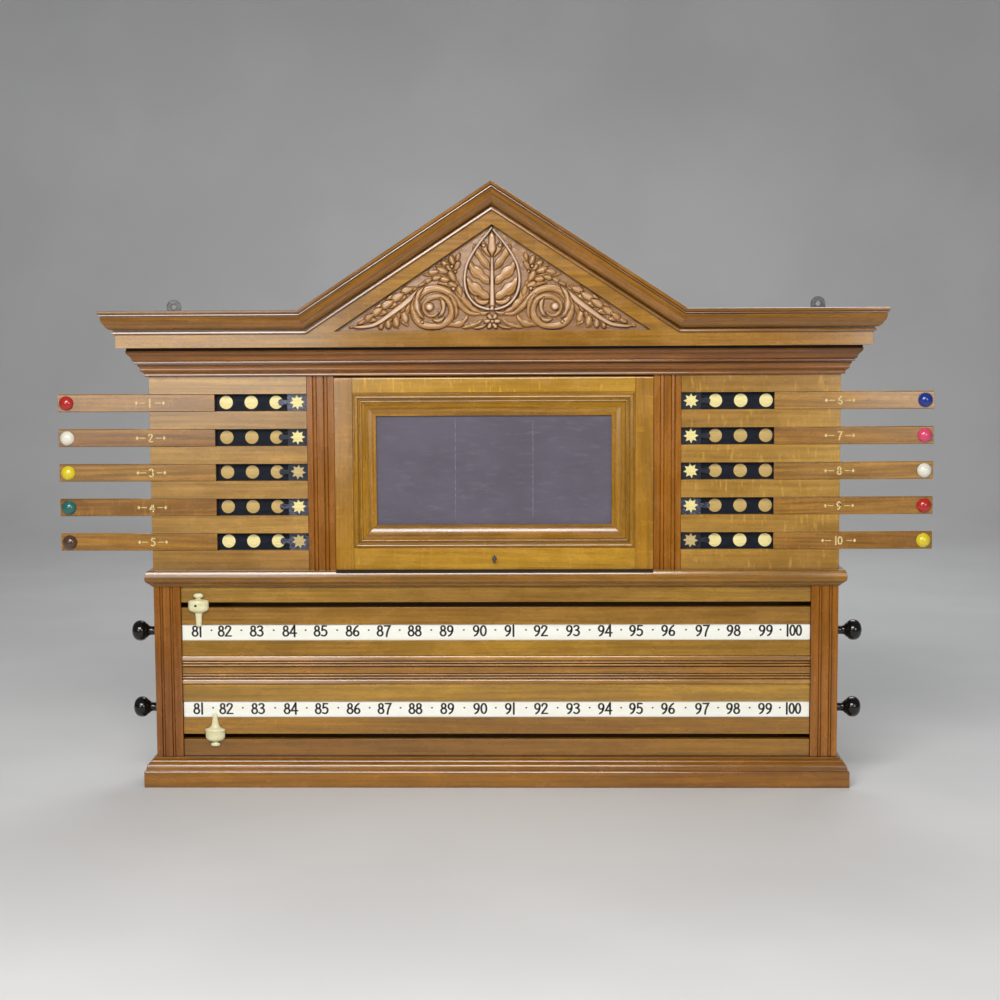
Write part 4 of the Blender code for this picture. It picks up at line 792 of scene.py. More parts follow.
for number, sign, middle in BARS:
    body = f"slide_{number}"
    ends = sorted((sign * BAR_IN_X, sign * BAR_OUT_X))
    length = prism(mirrored(BAR_HALF, middle), "X", *ends)
    bar = tidy(show(f"life_bar_{number}", length, bar_oak[BAR_BOARDS[number - 1]]))
    carry_grain(bar, (1, 0.004 * (number % 3), 0.012 * (number % 5 - 2)), 0.71 * number)
    fit(ease(bar, 0.0009, 2), body, "slide_oak", f"life_slide_{number}")
    dome = turning(BUTTON_ROWS, 40, (sign * BUTTON_X, FRONT_Y, middle))
    paint = LACQUERS[BUTTON_COLOURS[number - 1]]
    fit(tidy(show(f"finger_button_{number}", dome, paint), 50), body, "slide_oak")
    text = str(number)
    strokes = figures(text, FIGURE_HEIGHT, FIGURE_STROKE, FIGURE_GAP, FIGURE_SPREAD)
    for away in (-1, 1):
        near = away * (DASH_AWAY + len(text) * DASH_SHIFT)
        far = near + away * DIAMOND_AWAY
        half, rise = DIAMOND_HALF_WIDTH, DIAMOND_HALF_HEIGHT
        diamond = [(far - half, 0), (far, -rise), (far + half, 0), (far, rise)]
        dash = ribbon([(near, 0), (near + away * DASH_LENGTH, 0)], DASH_WIDTH)
        strokes += [dash, (diamond, [(0, 1, 2, 3)])]
    start = Vector((sign * NUMBER_X, FRONT_Y - PAINT_LIFT, middle))
    fit(painted(f"bar_number_{number}", strokes, start, gold), body, "slide_oak")

# ---- Star tablets -------------------------------------------------------------------------
# Ten thin tablets of black-stained pear wood that run in the rebates under the bars, each with
# a pale eight-pointed star let in and a round nib that a finger pushes.
TABLET_FRONT_Y = -0.0045
TABLET_BACK_Y = -0.0026
TABLET_X = 0.2913
TABLET_HALF_WIDTH = 0.015
TABLET_HALF_HEIGHT = 0.01355
NECK_HALF_HEIGHT = 0.00325
NIB_RADIUS = 0.00475
NIB_OUT = 0.0085
STAR_RADII = (0.0112, 0.0066)
STAR_PROUD = 0.0002
STAR_SUNK = 0.0006
STAR_TURNS = (0.06, 0.02, -0.10, 0.05, 0.16, 0.0, 0.03, 0.14, 0.07, -0.05)


def ebonised(name, worn):
    """Pear stained black, greyer where it has been handled."""
    pear = Finish(name, 0.30)
    wear = pear.patches((300, 300, 900), 0.38, 0.66)
    pear.set(Base_Color=pear.mix(tint(14, 15, 22), worn, wear), Coat_Weight=0.3)
    pear.relief(wear, 0.0001, 0.4)
    return pear.material


black = ebonised("black_pear", tint(44, 46, 60))
grey = ebonised("greyed_pear", tint(104, 106, 128))
TABLET_WOODS = (grey, black, black, grey, grey, black, black, black, grey, black)
bright = boxwood("star_boxwood", tint(246, 230, 156))
dull = boxwood("dull_star_boxwood", tint(204, 180, 122))
STAR_WOODS = (bright, bright, dull, bright, dull, bright, bright, bright, bright, dull)

nib_start = math.asin(NECK_HALF_HEIGHT / NIB_RADIUS)
edge = [
    (-TABLET_HALF_WIDTH, -TABLET_HALF_HEIGHT), (TABLET_HALF_WIDTH, -TABLET_HALF_HEIGHT),
    (TABLET_HALF_WIDTH, -NECK_HALF_HEIGHT),
]
for turn in angles(28, math.tau - 2 * nib_start):
    angle = nib_start - math.pi + turn
    edge.append((TABLET_HALF_WIDTH + NIB_OUT + NIB_RADIUS * math.cos(angle),
                 NIB_RADIUS * math.sin(angle)))
edge += [
    (TABLET_HALF_WIDTH, NECK_HALF_HEIGHT), (TABLET_HALF_WIDTH, TABLET_HALF_HEIGHT),
    (-TABLET_HALF_WIDTH, TABLET_HALF_HEIGHT),
]
for number, sign, middle in BARS:
    outline = [(sign * (TABLET_X + x), middle + z) for x, z in edge]
    slab = prism(outline, "Y", TABLET_FRONT_Y, TABLET_BACK_Y)
    tablet = ease(tidy(show(f"tablet_{number}", slab, TABLET_WOODS[number - 1])), 0.0003, 2)
    fit(tablet, f"tablet_{number}", "ebonised_tablet", f"star_tablet_{number}")
    star = []
    for point, turn in enumerate(angles(16, math.tau)[:-1]):
        radius = STAR_RADII[point % 2]
        angle = turn + STAR_TURNS[number - 1]
        star.append((sign * TABLET_X + radius * math.cos(angle), middle + radius * math.sin(angle)))
    star = prism(star, "Y", TABLET_FRONT_Y - STAR_PROUD, TABLET_FRONT_Y + STAR_SUNK)
    inlay = tidy(show(f"star_{number}", star, STAR_WOODS[number - 1]))
    fit(inlay, f"tablet_{number}", "ebonised_tablet")

# ---- Pilasters ----------------------------------------------------------------------------
# Four upright oak strips, worked with two sunk beads each. The upper pair stands beside the
# flap and laps the life boards; the lower pair closes the ends of the score boards.
UPPER_REEDS = (0.20, 0.17, 0.235, 0.17, 0.225)
LOWER_REEDS = (0.215, 0.12, 0.26, 0.12, 0.285)
PILASTER_WIDTH = 0.040
REED_DEPTH = 0.0016
DOOR_OPENING_X = 0.236
LEG_X = DOOR_OPENING_X + 0.0037
LAP_Y = -0.005
STEP_Y = -0.0073
STEP_X = (0.470, 0.494)
SHELF_Y = -0.0024


def reeded_front(shares):
    """Flats and sunk beads in turn: (along, inward) points across the face."""
    points = [(0, 0)]
    start = 0
    for place, share in enumerate(shares):
        width = share * PILASTER_WIDTH
        if place % 2:
            quirk = REED_DEPTH / 2
            bead = width - quirk * 2
            points += [(start, 0), (start + quirk / 2, REED_DEPTH)]
            points += [
                (start + quirk + bead / 2 * (1 - math.cos(angle)),
                 REED_DEPTH * (1 - math.sin(angle)))
                for angle in angles(10, math.pi)
            ]
            points += [(start + width - quirk / 2, REED_DEPTH), (start + width, 0)]
        start += width
    return points + [(PILASTER_WIDTH, 0)]


pilaster_oak = oak("pilaster_oak", tint(156, 94, 6), figure=0.9, crevice_shade=0.4, coat=0.45)
for side, sign in SIDES:
    for place, name, outer, reeds, foot, top, behind, lean, start in (
        ("upper", "door", WINDOW_X, UPPER_REEDS, WAIST_TOP, CASE_TOP,
         [(DOOR_OPENING_X, LIFE_BACK_Y), (LEG_X, LIFE_BACK_Y), (LEG_X, LAP_Y), (WINDOW_X, LAP_Y)],
         0.01, 1.3),
        ("lower", "end", HALF_WIDTH, LOWER_REEDS, PLINTH_TOP, WAIST_BOTTOM,
         [(STEP_X[0], STEP_Y), (STEP_X[1], STEP_Y), (STEP_X[1], SHELF_Y), (HALF_WIDTH, SHELF_Y)],
         -0.012, 2.9),
    ):
        outline = [(sign * (outer - x), FRONT_Y + depth) for x, depth in reeded_front(reeds)]
        outline += [(sign * x, depth) for x, depth in behind]
        strip = prism(outline, "Z", foot, top)
        pilaster = tidy(show(f"{name}_pilaster_{side}", strip, pilaster_oak), 30)
        carry_grain(pilaster, (lean * sign, 0, 1), start + sign)
        fit(ease(pilaster, 0.0002, 1), "case", "polished_oak", f"{place}_pilaster_{side}")

# ---- Flap door ----------------------------------------------------------------------------
# Two full-height stiles with two rails mortised between them, in quartered oak with bold rays.
# A worked slate moulding is mitred round the opening, and the flap turns on two brass pins.
DOOR_FACE_Y = -0.015
DOOR_BACK_Y = 0.004
DOOR_FOOT = 0.3269
DOOR_TOP = 0.6139
SIGHT_X = 0.2085
SIGHT_FOOT = 0.3594
SIGHT_TOP = 0.5902
SLATE_FACE_Y = -0.007
REBATE = 0.0055
EDGE_RADIUS = 0.004
JOINT_LINE = 0.00008

rail_oak = oak("door_rail_oak", tint(198, 148, 36), figure=0.5, fleck=0.4)
stile_oak = oak("door_stile_oak", tint(183, 130, 22), figure=0.8, fleck=0.2)
foot_oak = oak("door_foot_oak", tint(187, 137, 32), figure=0.8, fleck=0.2)


def cut_away(obj, form):
    """Cuts a form out of a board for good."""
    tool = tidy(show(f"{obj.name}_tool", form))
    cut = obj.modifiers.new("cut", "BOOLEAN")
    cut.solver = "EXACT"
    cut.object = tool
    graph = bpy.context.evaluated_depsgraph_get()
    mesh = bpy.data.meshes.new_from_object(obj.evaluated_get(graph))
    obj.modifiers.remove(cut)
    whole = obj.data
    obj.data = mesh
    bpy.data.meshes.remove(whole)
    bpy.data.objects.remove(tool)


def box(low, high):
    (x0, y0, z0), (x1, y1, z1) = low, high
    return prism([(x0, y0), (x1, y0), (x1, y1), (x0, y1)], "Z", z0, z1)


rebate_tool = box(
    (-SIGHT_X - REBATE, SLATE_FACE_Y - GAP, SIGHT_FOOT - REBATE),
    (SIGHT_X + REBATE, DOOR_BACK_Y + 0.002, SIGHT_TOP + REBATE),
)
door_boards = (
    ("door_stile_left", -FLAP_HALF_WIDTH, -SIGHT_X - JOINT_LINE, DOOR_FOOT, DOOR_TOP, stile_oak,
     (0.02, 0, 1)),
    ("door_stile_right", SIGHT_X + JOINT_LINE, FLAP_HALF_WIDTH, DOOR_FOOT, DOOR_TOP, stile_oak,
     (-0.02, 0, 1)),
    ("door_top_rail", -SIGHT_X, SIGHT_X, SIGHT_TOP, DOOR_TOP, rail_oak, (1, 0, 0.01)),
    ("door_foot_rail", -SIGHT_X, SIGHT_X, DOOR_FOOT, SIGHT_FOOT, foot_oak, (1, 0, -0.02)),
)
for start, (name, left, right, foot, top, wood, along) in enumerate(door_boards):
    front_edge = [(DOOR_FACE_Y, top)]
    if top == DOOR_TOP:
        front_edge = [
            (DOOR_FACE_Y + EDGE_RADIUS * (1 - math.sin(angle)),
             top - EDGE_RADIUS * (1 - math.cos(angle)))
            for angle in angles(8, math.pi / 2)
        ]
    end_view = [(DOOR_BACK_Y, foot), (DOOR_BACK_Y, top), *front_edge, (DOOR_FACE_Y, foot)]
    board = tidy(show(name, prism(end_view, "X", left, right), wood))
    cut_away(board, rebate_tool)
    carry_grain(tidy(board, 30), along, 0.83 * start)
    fit(ease(board, 0.00035), "door", "polished_oak", "door_frame")

SLATE_MOULDING_WIDTH = 0.0345
SLATE_MOULDING_DEPTH = 0.0105
SLATE_MOULDING_SHARES = (
    (0.01, 0.03, 0), (0.01, 0.76, 0), (0.05, 0.76, 0), (0.07, 0.90, 0.3), (0.23, 0.90, 0.42),
    (0.25, 0.72, 0), (0.30, 0.72, 0), (0.31, 0.80, 0.3), (0.39, 0.80, 0.42), (0.41, 0.68, 0),
    (0.53, 0.66, 0), (0.55, 0.60, 0), (0.87, 0.30, -0.12), (0.89, 0.34, 0), (1.0, 0.34, 0),
    (1.0, 0.03, 0),
)
slate_moulding_oak = oak("slate_moulding_oak", tint(170, 119, 10), figure=1.3)
worked = rounded_line(SLATE_MOULDING_SHARES, SLATE_MOULDING_WIDTH, SLATE_MOULDING_DEPTH, 8)
section = [(rise, inward) for inward, rise in worked]
corners = [
    (-SIGHT_X, SLATE_FACE_Y, SIGHT_FOOT), (SIGHT_X, SLATE_FACE_Y, SIGHT_FOOT),
    (SIGHT_X, SLATE_FACE_Y, SIGHT_TOP), (-SIGHT_X, SLATE_FACE_Y, SIGHT_TOP),
]
mould("slate_moulding", section, corners, [(0, -1, 0)] * 4, slate_moulding_oak, "door", 5.1, True)

# The slate: a sawn slab held by the moulding in front and beads behind, rubbed grey by chalk,
# with two fine ruled lines for the columns.
slate = Finish("writing_slate", 0.62)
slate_grain = slate.noise(1400, 2)
colour = slate.patches((9, 9, 14), 0.3, 0.7, 5, 0.62)
colour = slate.mix(tint(84, 76, 88), tint(94, 86, 99), colour)
rub = slate.times(slate.patches((40, 40, 160), 0.5, 0.8), 0.16)
colour = slate.mix(colour, tint(140, 138, 146), rub)
slate.set(Base_Color=slate.shaded(colour, slate_grain, 0.92, 1.06))
slate.relief(slate_grain, 0.0001, 0.35)
finish_node("slate_panel", slate.material, 0.0003)
chalk = Finish("ruled_line", 0.8)
chalk_breaks = chalk.patches((500, 500, 260), 0.4, 0.6, 3, 0.5)
chalk.set(Base_Color=chalk.mix(tint(104, 96, 108), tint(140, 134, 144), chalk_breaks))
CHALK_LINE = 0.0007
CHALK_LEAN = 0.0004
ruled = [
    ribbon([(across, foot), (across + CHALK_LEAN, top)], CHALK_LINE)
    for across, foot, top in ((-0.0575, 0.401, 0.553), (0.0575, 0.404, 0.549))
]
start = Vector((0, SLATE_FACE_Y - PAINT_LIFT, 0))
fit(painted("ruled_lines", ruled, start, chalk), "door", "slate")

brass = Finish("old_brass", 0.3)
brass_dull = brass.patches(500, 0.4, 0.7)
brass.set(
    Metallic=1.0, Base_Color=brass.mix(tint(196, 158, 92), tint(128, 96, 52), brass_dull),
    Roughness=brass.ramp(brass_dull, 0, 1, 0.24, 0.5),
)
for pin in ("door_pivot_left", "door_pivot_right"):
    finish_node(pin, brass.material, 0.0003)

# The pull: a small iron screw eye in the foot rail
PULL_Z = 0.3434
EYE_RADIUS = 0.00525
WIRE_RADIUS = 0.0011
SHANK = 0.0035
SHANK_ROWS = [
    (0.0035, 0.0), (0.0034, 0.0006), (0.0016, 0.0012), (WIRE_RADIUS, 0.002), (WIRE_RADIUS, SHANK),
]
ring = []
for angle in angles(40, math.tau)[:-1]:
    for tilt in angles(14, math.tau)[:-1]:
        reach = EYE_RADIUS + WIRE_RADIUS * math.cos(tilt)
        ring.append(Vector((
            WIRE_RADIUS * math.sin(tilt),
            DOOR_FACE_Y - SHANK - EYE_RADIUS + reach * math.cos(angle),
            PULL_Z + reach * math.sin(angle),
        )))
shank = turning(SHANK_ROWS, 20, (0, DOOR_FACE_Y - GAP, PULL_Z))
screw_eye = join([shank, (ring, skin(14, 40, looped=True))])
fit(tidy(show("screw_eye", screw_eye, iron.material), 50), "door", "dull_iron", "door_pull")

# ---- Score boards -------------------------------------------------------------------------
# Six oak strips and a reeded rail behind the end pilasters. Between them lie the slots that the
# pointers run in and the windows of the rollers, whose edges are cut back behind.
SCORE_FACE_Y = -0.010
SCORE_BACK_Y = 0.001
SCORE_END_X = 0.4697
ROLLER_Y = 0.0113
UPPER_ROLLER_Z = 0.2317
LOWER_ROLLER_Z = 0.1149
UPPER_SLOT_Z = 0.2737
LOWER_SLOT_Z = 0.0738
SLOT_HALF = 0.00385
WINDOW_HALF = 0.0122
LIP_Y = -0.00796
CUT_BACK = 0.01415
RAIL_TOP = 0.1961
RAIL_BOTTOM = 0.1534

top_oak = oak("score_oak_top", tint(168, 124, 46))
middle_oak = oak("score_oak_middle", tint(163, 116, 40), slant=0.15)
below_oak = oak("score_oak_below", tint(178, 132, 34))
low_oak = oak("score_oak_foot", tint(160, 110, 16))
strips = (
    ("above_upper_slot", UPPER_SLOT_Z + SLOT_HALF, WAIST_BOTTOM, None, top_oak),
    ("above_upper_roller", UPPER_ROLLER_Z + WINDOW_HALF, UPPER_SLOT_Z - SLOT_HALF, "foot",
     middle_oak),
    ("below_upper_roller", RAIL_TOP + GAP, UPPER_ROLLER_Z - WINDOW_HALF, "top", below_oak),
    ("above_lower_roller", LOWER_ROLLER_Z + WINDOW_HALF, RAIL_BOTTOM - GAP, "foot", below_oak),
    ("below_lower_roller", LOWER_SLOT_Z + SLOT_HALF, LOWER_ROLLER_Z - WINDOW_HALF, "top", low_oak),
    ("below_lower_slot", PLINTH_TOP, LOWER_SLOT_Z - SLOT_HALF, None, low_oak),
)
for start, (name, foot, top, cut, wood) in enumerate(strips):
    line = [(SCORE_FACE_Y, foot), (SCORE_FACE_Y, top)]
    if cut == "top":
        line += [(LIP_Y, top), (SCORE_BACK_Y, top - CUT_BACK), (SCORE_BACK_Y, foot)]
    elif cut == "foot":
        line += [(SCORE_BACK_Y, top), (SCORE_BACK_Y, foot + CUT_BACK), (LIP_Y, foot)]
    else:
        line += [(SCORE_BACK_Y, top), (SCORE_BACK_Y, foot)]
    strip = tidy(show(name, prism(line, "X", -SCORE_END_X, SCORE_END_X), wood))
    carry_grain(strip, (1, 0, 0.004 * (start % 3 - 1)), 1.9 * start)
    node = "score_board_upper" if start < 3 else "score_board_lower"
    fit(ease(strip, 0.0004), "case", "polished_oak", node)

# The rail between the score boards, worked with beads on both sides of a flat
RAIL_FACE_Y = -0.011
RAIL_THICKNESS = 0.010
RAIL_REED = 0.0028
RAIL_QUIRK = 0.0012
RAIL_MEMBERS = (
    ("ovolo", 0.175), ("quirk", 0.02), ("bead", 0.075), ("quirk", 0.02), ("bead", 0.085),
    ("quirk", 0.02), ("flat", 0.225), ("quirk", 0.02), ("bead", 0.07), ("quirk", 0.02),
    ("bead", 0.085), ("quirk", 0.02), ("ovolo", 0.165),
)
OVOLO = (
    (0.0, 0.0), (0.45, 0.015), (0.56, 0.06), (0.72, 0.28), (0.86, 0.52), (0.96, 0.72),
    (1.0, 0.82), (0.92, 0.92), (0.55, 0.985), (0.0, 1.0),
)
line = [(RAIL_FACE_Y + RAIL_THICKNESS, RAIL_BOTTOM), (RAIL_FACE_Y + RAIL_THICKNESS, RAIL_TOP)]
top = RAIL_TOP
for kind, share in RAIL_MEMBERS:
    width = share * (RAIL_TOP - RAIL_BOTTOM)
    if kind == "bead":
        rise = min(RAIL_REED, width / 2)
        line += [
            (RAIL_FACE_Y + RAIL_REED - rise * math.sin(angle),
             top - width / 2 * (1 - math.cos(angle)))
            for angle in angles(12, math.pi)
        ]
    elif kind == "ovolo":
        line += [
            (RAIL_FACE_Y + RAIL_REED * (1 - out), top - width * down) for out, down in OVOLO
        ]
    elif kind == "flat":
        depth = RAIL_FACE_Y + RAIL_REED / 2
        line += [(depth, top - GAP), (depth, top - width + GAP)]
    else:
        depth = RAIL_FACE_Y + RAIL_REED + RAIL_QUIRK
        line += [(depth, top - width * 0.2), (depth, top - width * 0.8)]
    top -= width
reeded_oak = oak("reeded_oak", tint(182, 128, 44), gloss=0.22)
rail = show("reeded_strip", prism(line, "X", -SCORE_END_X, SCORE_END_X), reeded_oak)
carry_grain(tidy(rail, 30), (1, 0, 0.002), 7.7)
fit(rail, "case", "polished_oak", "reeded_rail")

# ---- Rollers ------------------------------------------------------------------------------
# Five-sided cores of stained beech on steel spindles. A strip of ivory celluloid is pinned to
# each side, with twenty numbers painted in black and a dot between each two.
LEVELS = (("upper", UPPER_ROLLER_Z), ("lower", LOWER_ROLLER_Z))
APOTHEM = 0.0178
STRIP_THICKNESS = 0.0008
STRIP_HALF = 0.0123
ROLLER_END_X = 0.4693
SPINDLE_END_X = 0.5186
GLUE = 0.00002
ROLLER_FIGURE = 0.0166
ROLLER_STROKE = 0.0029
ROLLER_GAP = 0.0008
FIGURE_BREADTH = 1.14
DOT_LENGTH = 0.0006
DOT_RISE = 0.0012
DOT_WIDTH = 0.0033
FIGURES_RISE = {"upper": 0.0021, "lower": 0.0008}
NUMBER_PLACES = (
    -0.4472, -0.4052, -0.3572, -0.3078, -0.2612, -0.2131, -0.1666, -0.1201, -0.0721, -0.0227,
    0.0223, 0.0687, 0.1166, 0.1645, 0.2108, 0.2587, 0.3095, 0.3558, 0.4036, 0.4454,
)

core_wood = oak("core_beech", tint(70, 50, 34), "X", gloss=0.55, coat=0.0)
ivory = Finish("ivory_celluloid", 0.28)
ivory_run = ivory.patches((3, 60, 60), 0.3, 0.7, 3, 0.55)
ivory_spots = ivory.times(ivory.patches(380, 0.62, 0.75, 3, 0.7), 0.25)
colour = ivory.mix(tint(246, 243, 228), tint(252, 250, 240), ivory_run)
colour = ivory.mix(colour, tint(200, 186, 146), ivory_spots)
# Painted shade: the celluloid darkens to brown in narrow places, by ambient occlusion
ivory.set(
    Base_Color=ivory.mix(tint(150, 128, 84), colour, ivory.crevices(0.0022, 0.2, 0.9)),
    Coat_Weight=0.25, Coat_Roughness=0.12,
    Subsurface_Weight=0.06, Subsurface_Radius=(0.002, 0.0015, 0.001),
)
black_paint = Finish("number_black", 0.4)
black_wear = black_paint.patches(900, 0.55, 0.75, 3)
black_paint.set(Base_Color=black_paint.mix(tint(22, 21, 21), tint(74, 70, 64), black_wear))
steel = Finish("spindle_steel", 0.3)
steel_turn = steel.noise((2500, 20, 20), 3)
steel.set(
    Metallic=1.0, Base_Color=steel.mix(tint(128, 126, 122), tint(172, 170, 166), steel_turn)
)
steel.relief(steel_turn, 0.00005, 0.5)
SPINDLE_ROWS = [
    (0.0034, -SPINDLE_END_X), (0.004, -SPINDLE_END_X + 0.0008),
    (0.004, SPINDLE_END_X - 0.0008), (0.0034, SPINDLE_END_X),
]

for level, height in LEVELS:
    body = f"roller_{level}"
    middle = Vector((0, ROLLER_Y, height))
    corner = APOTHEM / math.cos(math.pi / 5)
    core_line = []
    for face in range(5):
        angle = math.tau * (face + 0.5) / 5
        core_line.append((ROLLER_Y - corner * math.cos(angle), height + corner * math.sin(angle)))
    core = prism(core_line, "X", -ROLLER_END_X, ROLLER_END_X)
    core = ease(tidy(show(f"roller_core_{level}", core, core_wood)), 0.0008)
    fit(core, body, "ivorine", f"number_roller_{level}")
    rod = turning(SPINDLE_ROWS, 28, middle, "X")
    fit(tidy(show(f"spindle_{level}", rod, steel.material)), body, "dull_iron")

    for face, angle in enumerate(angles(5, math.tau)[:-1]):
        out = Vector((0, -math.cos(angle), math.sin(angle)))
        up = Vector((0, math.sin(angle), math.cos(angle)))
        points = [
            middle + Vector((x, 0, 0)) + up * rise + out * (APOTHEM + lift + GLUE)
            for x in (-ROLLER_END_X, ROLLER_END_X)
            for rise, lift in ((-STRIP_HALF, 0), (STRIP_HALF, 0), (STRIP_HALF, STRIP_THICKNESS),
                               (-STRIP_HALF, STRIP_THICKNESS))
        ]
        strip = tidy(show(f"strip_{level}_{face + 1}", (points, skin(4, 2)), ivory.material))
        fit(ease(strip, 0.00025), body, "ivorine")

        # The side in front counts from 81 to 100, and the next ones go on from 1
        numbers = []
        first = 81 if face == 0 else (face - 1) * 20 + 1
        for place, across in enumerate(NUMBER_PLACES):
            text = str(first + place)
            breadth = FIGURE_BREADTH if len(text) < 3 else 1.0
            strokes = figures(text, ROLLER_FIGURE, ROLLER_STROKE, ROLLER_GAP, breadth)
            if across != NUMBER_PLACES[-1]:
                half = (NUMBER_PLACES[place + 1] - across) / 2
                dot = [(half + DOT_LENGTH, DOT_RISE), (half + 2 * DOT_LENGTH, DOT_RISE)]
                strokes.append(ribbon(dot, DOT_WIDTH))
            numbers += [([(across + x, y) for x, y in points], faces) for points, faces in strokes]
        surface = middle + out * (APOTHEM + STRIP_THICKNESS + GLUE + PAINT_LIFT)
        surface += up * FIGURES_RISE[level]
        film = painted(f"numbers_{level}_{face + 1}", numbers, surface, black_paint, up)
        fit(film, body, "ivorine")

# ---- Knobs --------------------------------------------------------------------------------
# Four knobs turned in ebonised wood and polished, each driven onto its spindle's end with a
# small flange against the case. A fine bead runs round the head.
ebony = Finish("polished_ebony", 0.12)
ebony_streak = ebony.patches((40, 400, 400), 0.4, 0.7)
ebony_rub = ebony.patches(160, 0.5, 0.75, 3, 0.5)
ebony.set(
    Base_Color=ebony.mix(tint(8, 7, 7), tint(26, 20, 17), ebony_streak),
    Roughness=ebony.ramp(ebony_rub, 0, 1, 0.10, 0.26), Coat_Weight=0.2, Coat_Roughness=0.05,
)
KNOB_FOOT_X = 0.5106
KNOB_ROWS = [
    (0.0087, 0.0000), (0.0088, 0.0014), (0.0082, 0.0021), (0.0068, 0.0026), (0.0066, 0.0060),
    (0.0066, 0.0086), (0.0070, 0.0110), (0.0082, 0.0130), (0.0096, 0.0144), (0.0103, 0.0148),
    (0.0108, 0.0154), (0.0104, 0.0161), (0.0112, 0.0168), (0.0130, 0.0182), (0.0144, 0.0202),
    (0.0152, 0.0228), (0.0155, 0.0256), (0.0152, 0.0284), (0.0144, 0.0308), (0.0130, 0.0330),
    (0.0112, 0.0347), (0.0092, 0.0360), (0.0076, 0.0366), (0.0070, 0.0364), (0.0060, 0.0369),
    (0.0040, 0.0377), (0.0018, 0.0380), (0.0002, 0.0380),
]
for level, height in LEVELS:
    for side, sign in SIDES:
        facing = "X" if sign > 0 else "-X"
        knob = turning(KNOB_ROWS, 48, (sign * KNOB_FOOT_X, ROLLER_Y, height), facing)
        knob = tidy(show(f"knob_{level}_{side}_turned", knob, ebony.material), 50)
        fit(knob, f"roller_{level}", "ebony", f"knob_{level}_{side}")

# ---- Pointers -----------------------------------------------------------------------------
# Two pointers turned in ivory celluloid and flattened at the back. A neck goes through the slot
# to a slider behind the board; the upper one has lost the black stud from its peg hole.
POINTER_HALF_WIDTH = 0.0155
POINTER_LENGTH = 0.0508
POINTER_FACE_Y = -0.0108
FLATNESS = 0.58
NECK_HALF = 0.0034
NECK_LAP = 0.001
SLIDER_HALF_WIDTH = 0.008
SLIDER_HALF_HEIGHT = 0.007
SLIDER_PLAY = 0.0005
SLIDER_THICKNESS = 0.0025
PEG_HOLE_ASIDE = 0.003
PEG_HOLE_ROWS = [(0.0001, 0.0092), (0.0017, 0.0092), (0.0019, 0.0088), (0.0019, 0.0070)]
cream = Finish("cream_celluloid", 0.3)
colour = cream.mix(tint(222, 212, 160), tint(236, 229, 186), cream.patches(60, 0.3, 0.7))
colour = cream.shaded(colour, cream.noise((40, 40, 900), 3), 0.95, 1.03)
# Painted shade: the celluloid darkens to brown in narrow places, by ambient occlusion
cream.set(
    Base_Color=cream.mix(tint(140, 116, 66), colour, cream.crevices(0.003, 0.2, 0.9)),
    Coat_Weight=0.3, Coat_Roughness=0.12,
    Subsurface_Weight=0.08, Subsurface_Radius=(0.003, 0.002, 0.001),
)
UPPER_POINTER = (
    (0.02, 0.0, 0), (0.26, 0.010, 0.1), (0.45, 0.050, 0.2), (0.47, 0.085, 0.2), (0.36, 0.13, 0.2),
    (0.24, 0.15, 0), (0.24, 0.17, -0.1), (0.50, 0.19, -0.2), (0.86, 0.215, 0.05), (1.0, 0.26, 0.25),
    (1.0, 0.36, 0), (0.985, 0.37, 0), (1.0, 0.38, 0), (0.99, 0.46, 0.05), (0.90, 0.515, 0.15),
    (0.58, 0.57, 0.05), (0.38, 0.60, -0.1), (0.33, 0.63, 0), (0.27, 0.93, 0), (0.22, 0.985, 0.2),
    (0.10, 1.0, 0.15), (0.02, 1.0, 0),
)
LOWER_POINTER = (
    (0.02, 0.0, 0), (0.34, 0.005, 0.1), (0.45, 0.05, 0.2), (0.40, 0.09, 0.2), (0.26, 0.11, 0.1),
    (0.28, 0.145, 0), (0.62, 0.165, -0.1), (0.86, 0.22, 0.15), (0.95, 0.30, 0.12), (0.94, 0.45, 0),
    (0.99, 0.465, 0), (1.0, 0.50, 0.1), (0.94, 0.525, 0.1), (0.60, 0.56, -0.1), (0.42, 0.61, -0.1),
    (0.34, 0.66, 0), (0.20, 0.95, 0), (0.13, 0.99, 0.2), (0.02, 1.0, 0.1),
)
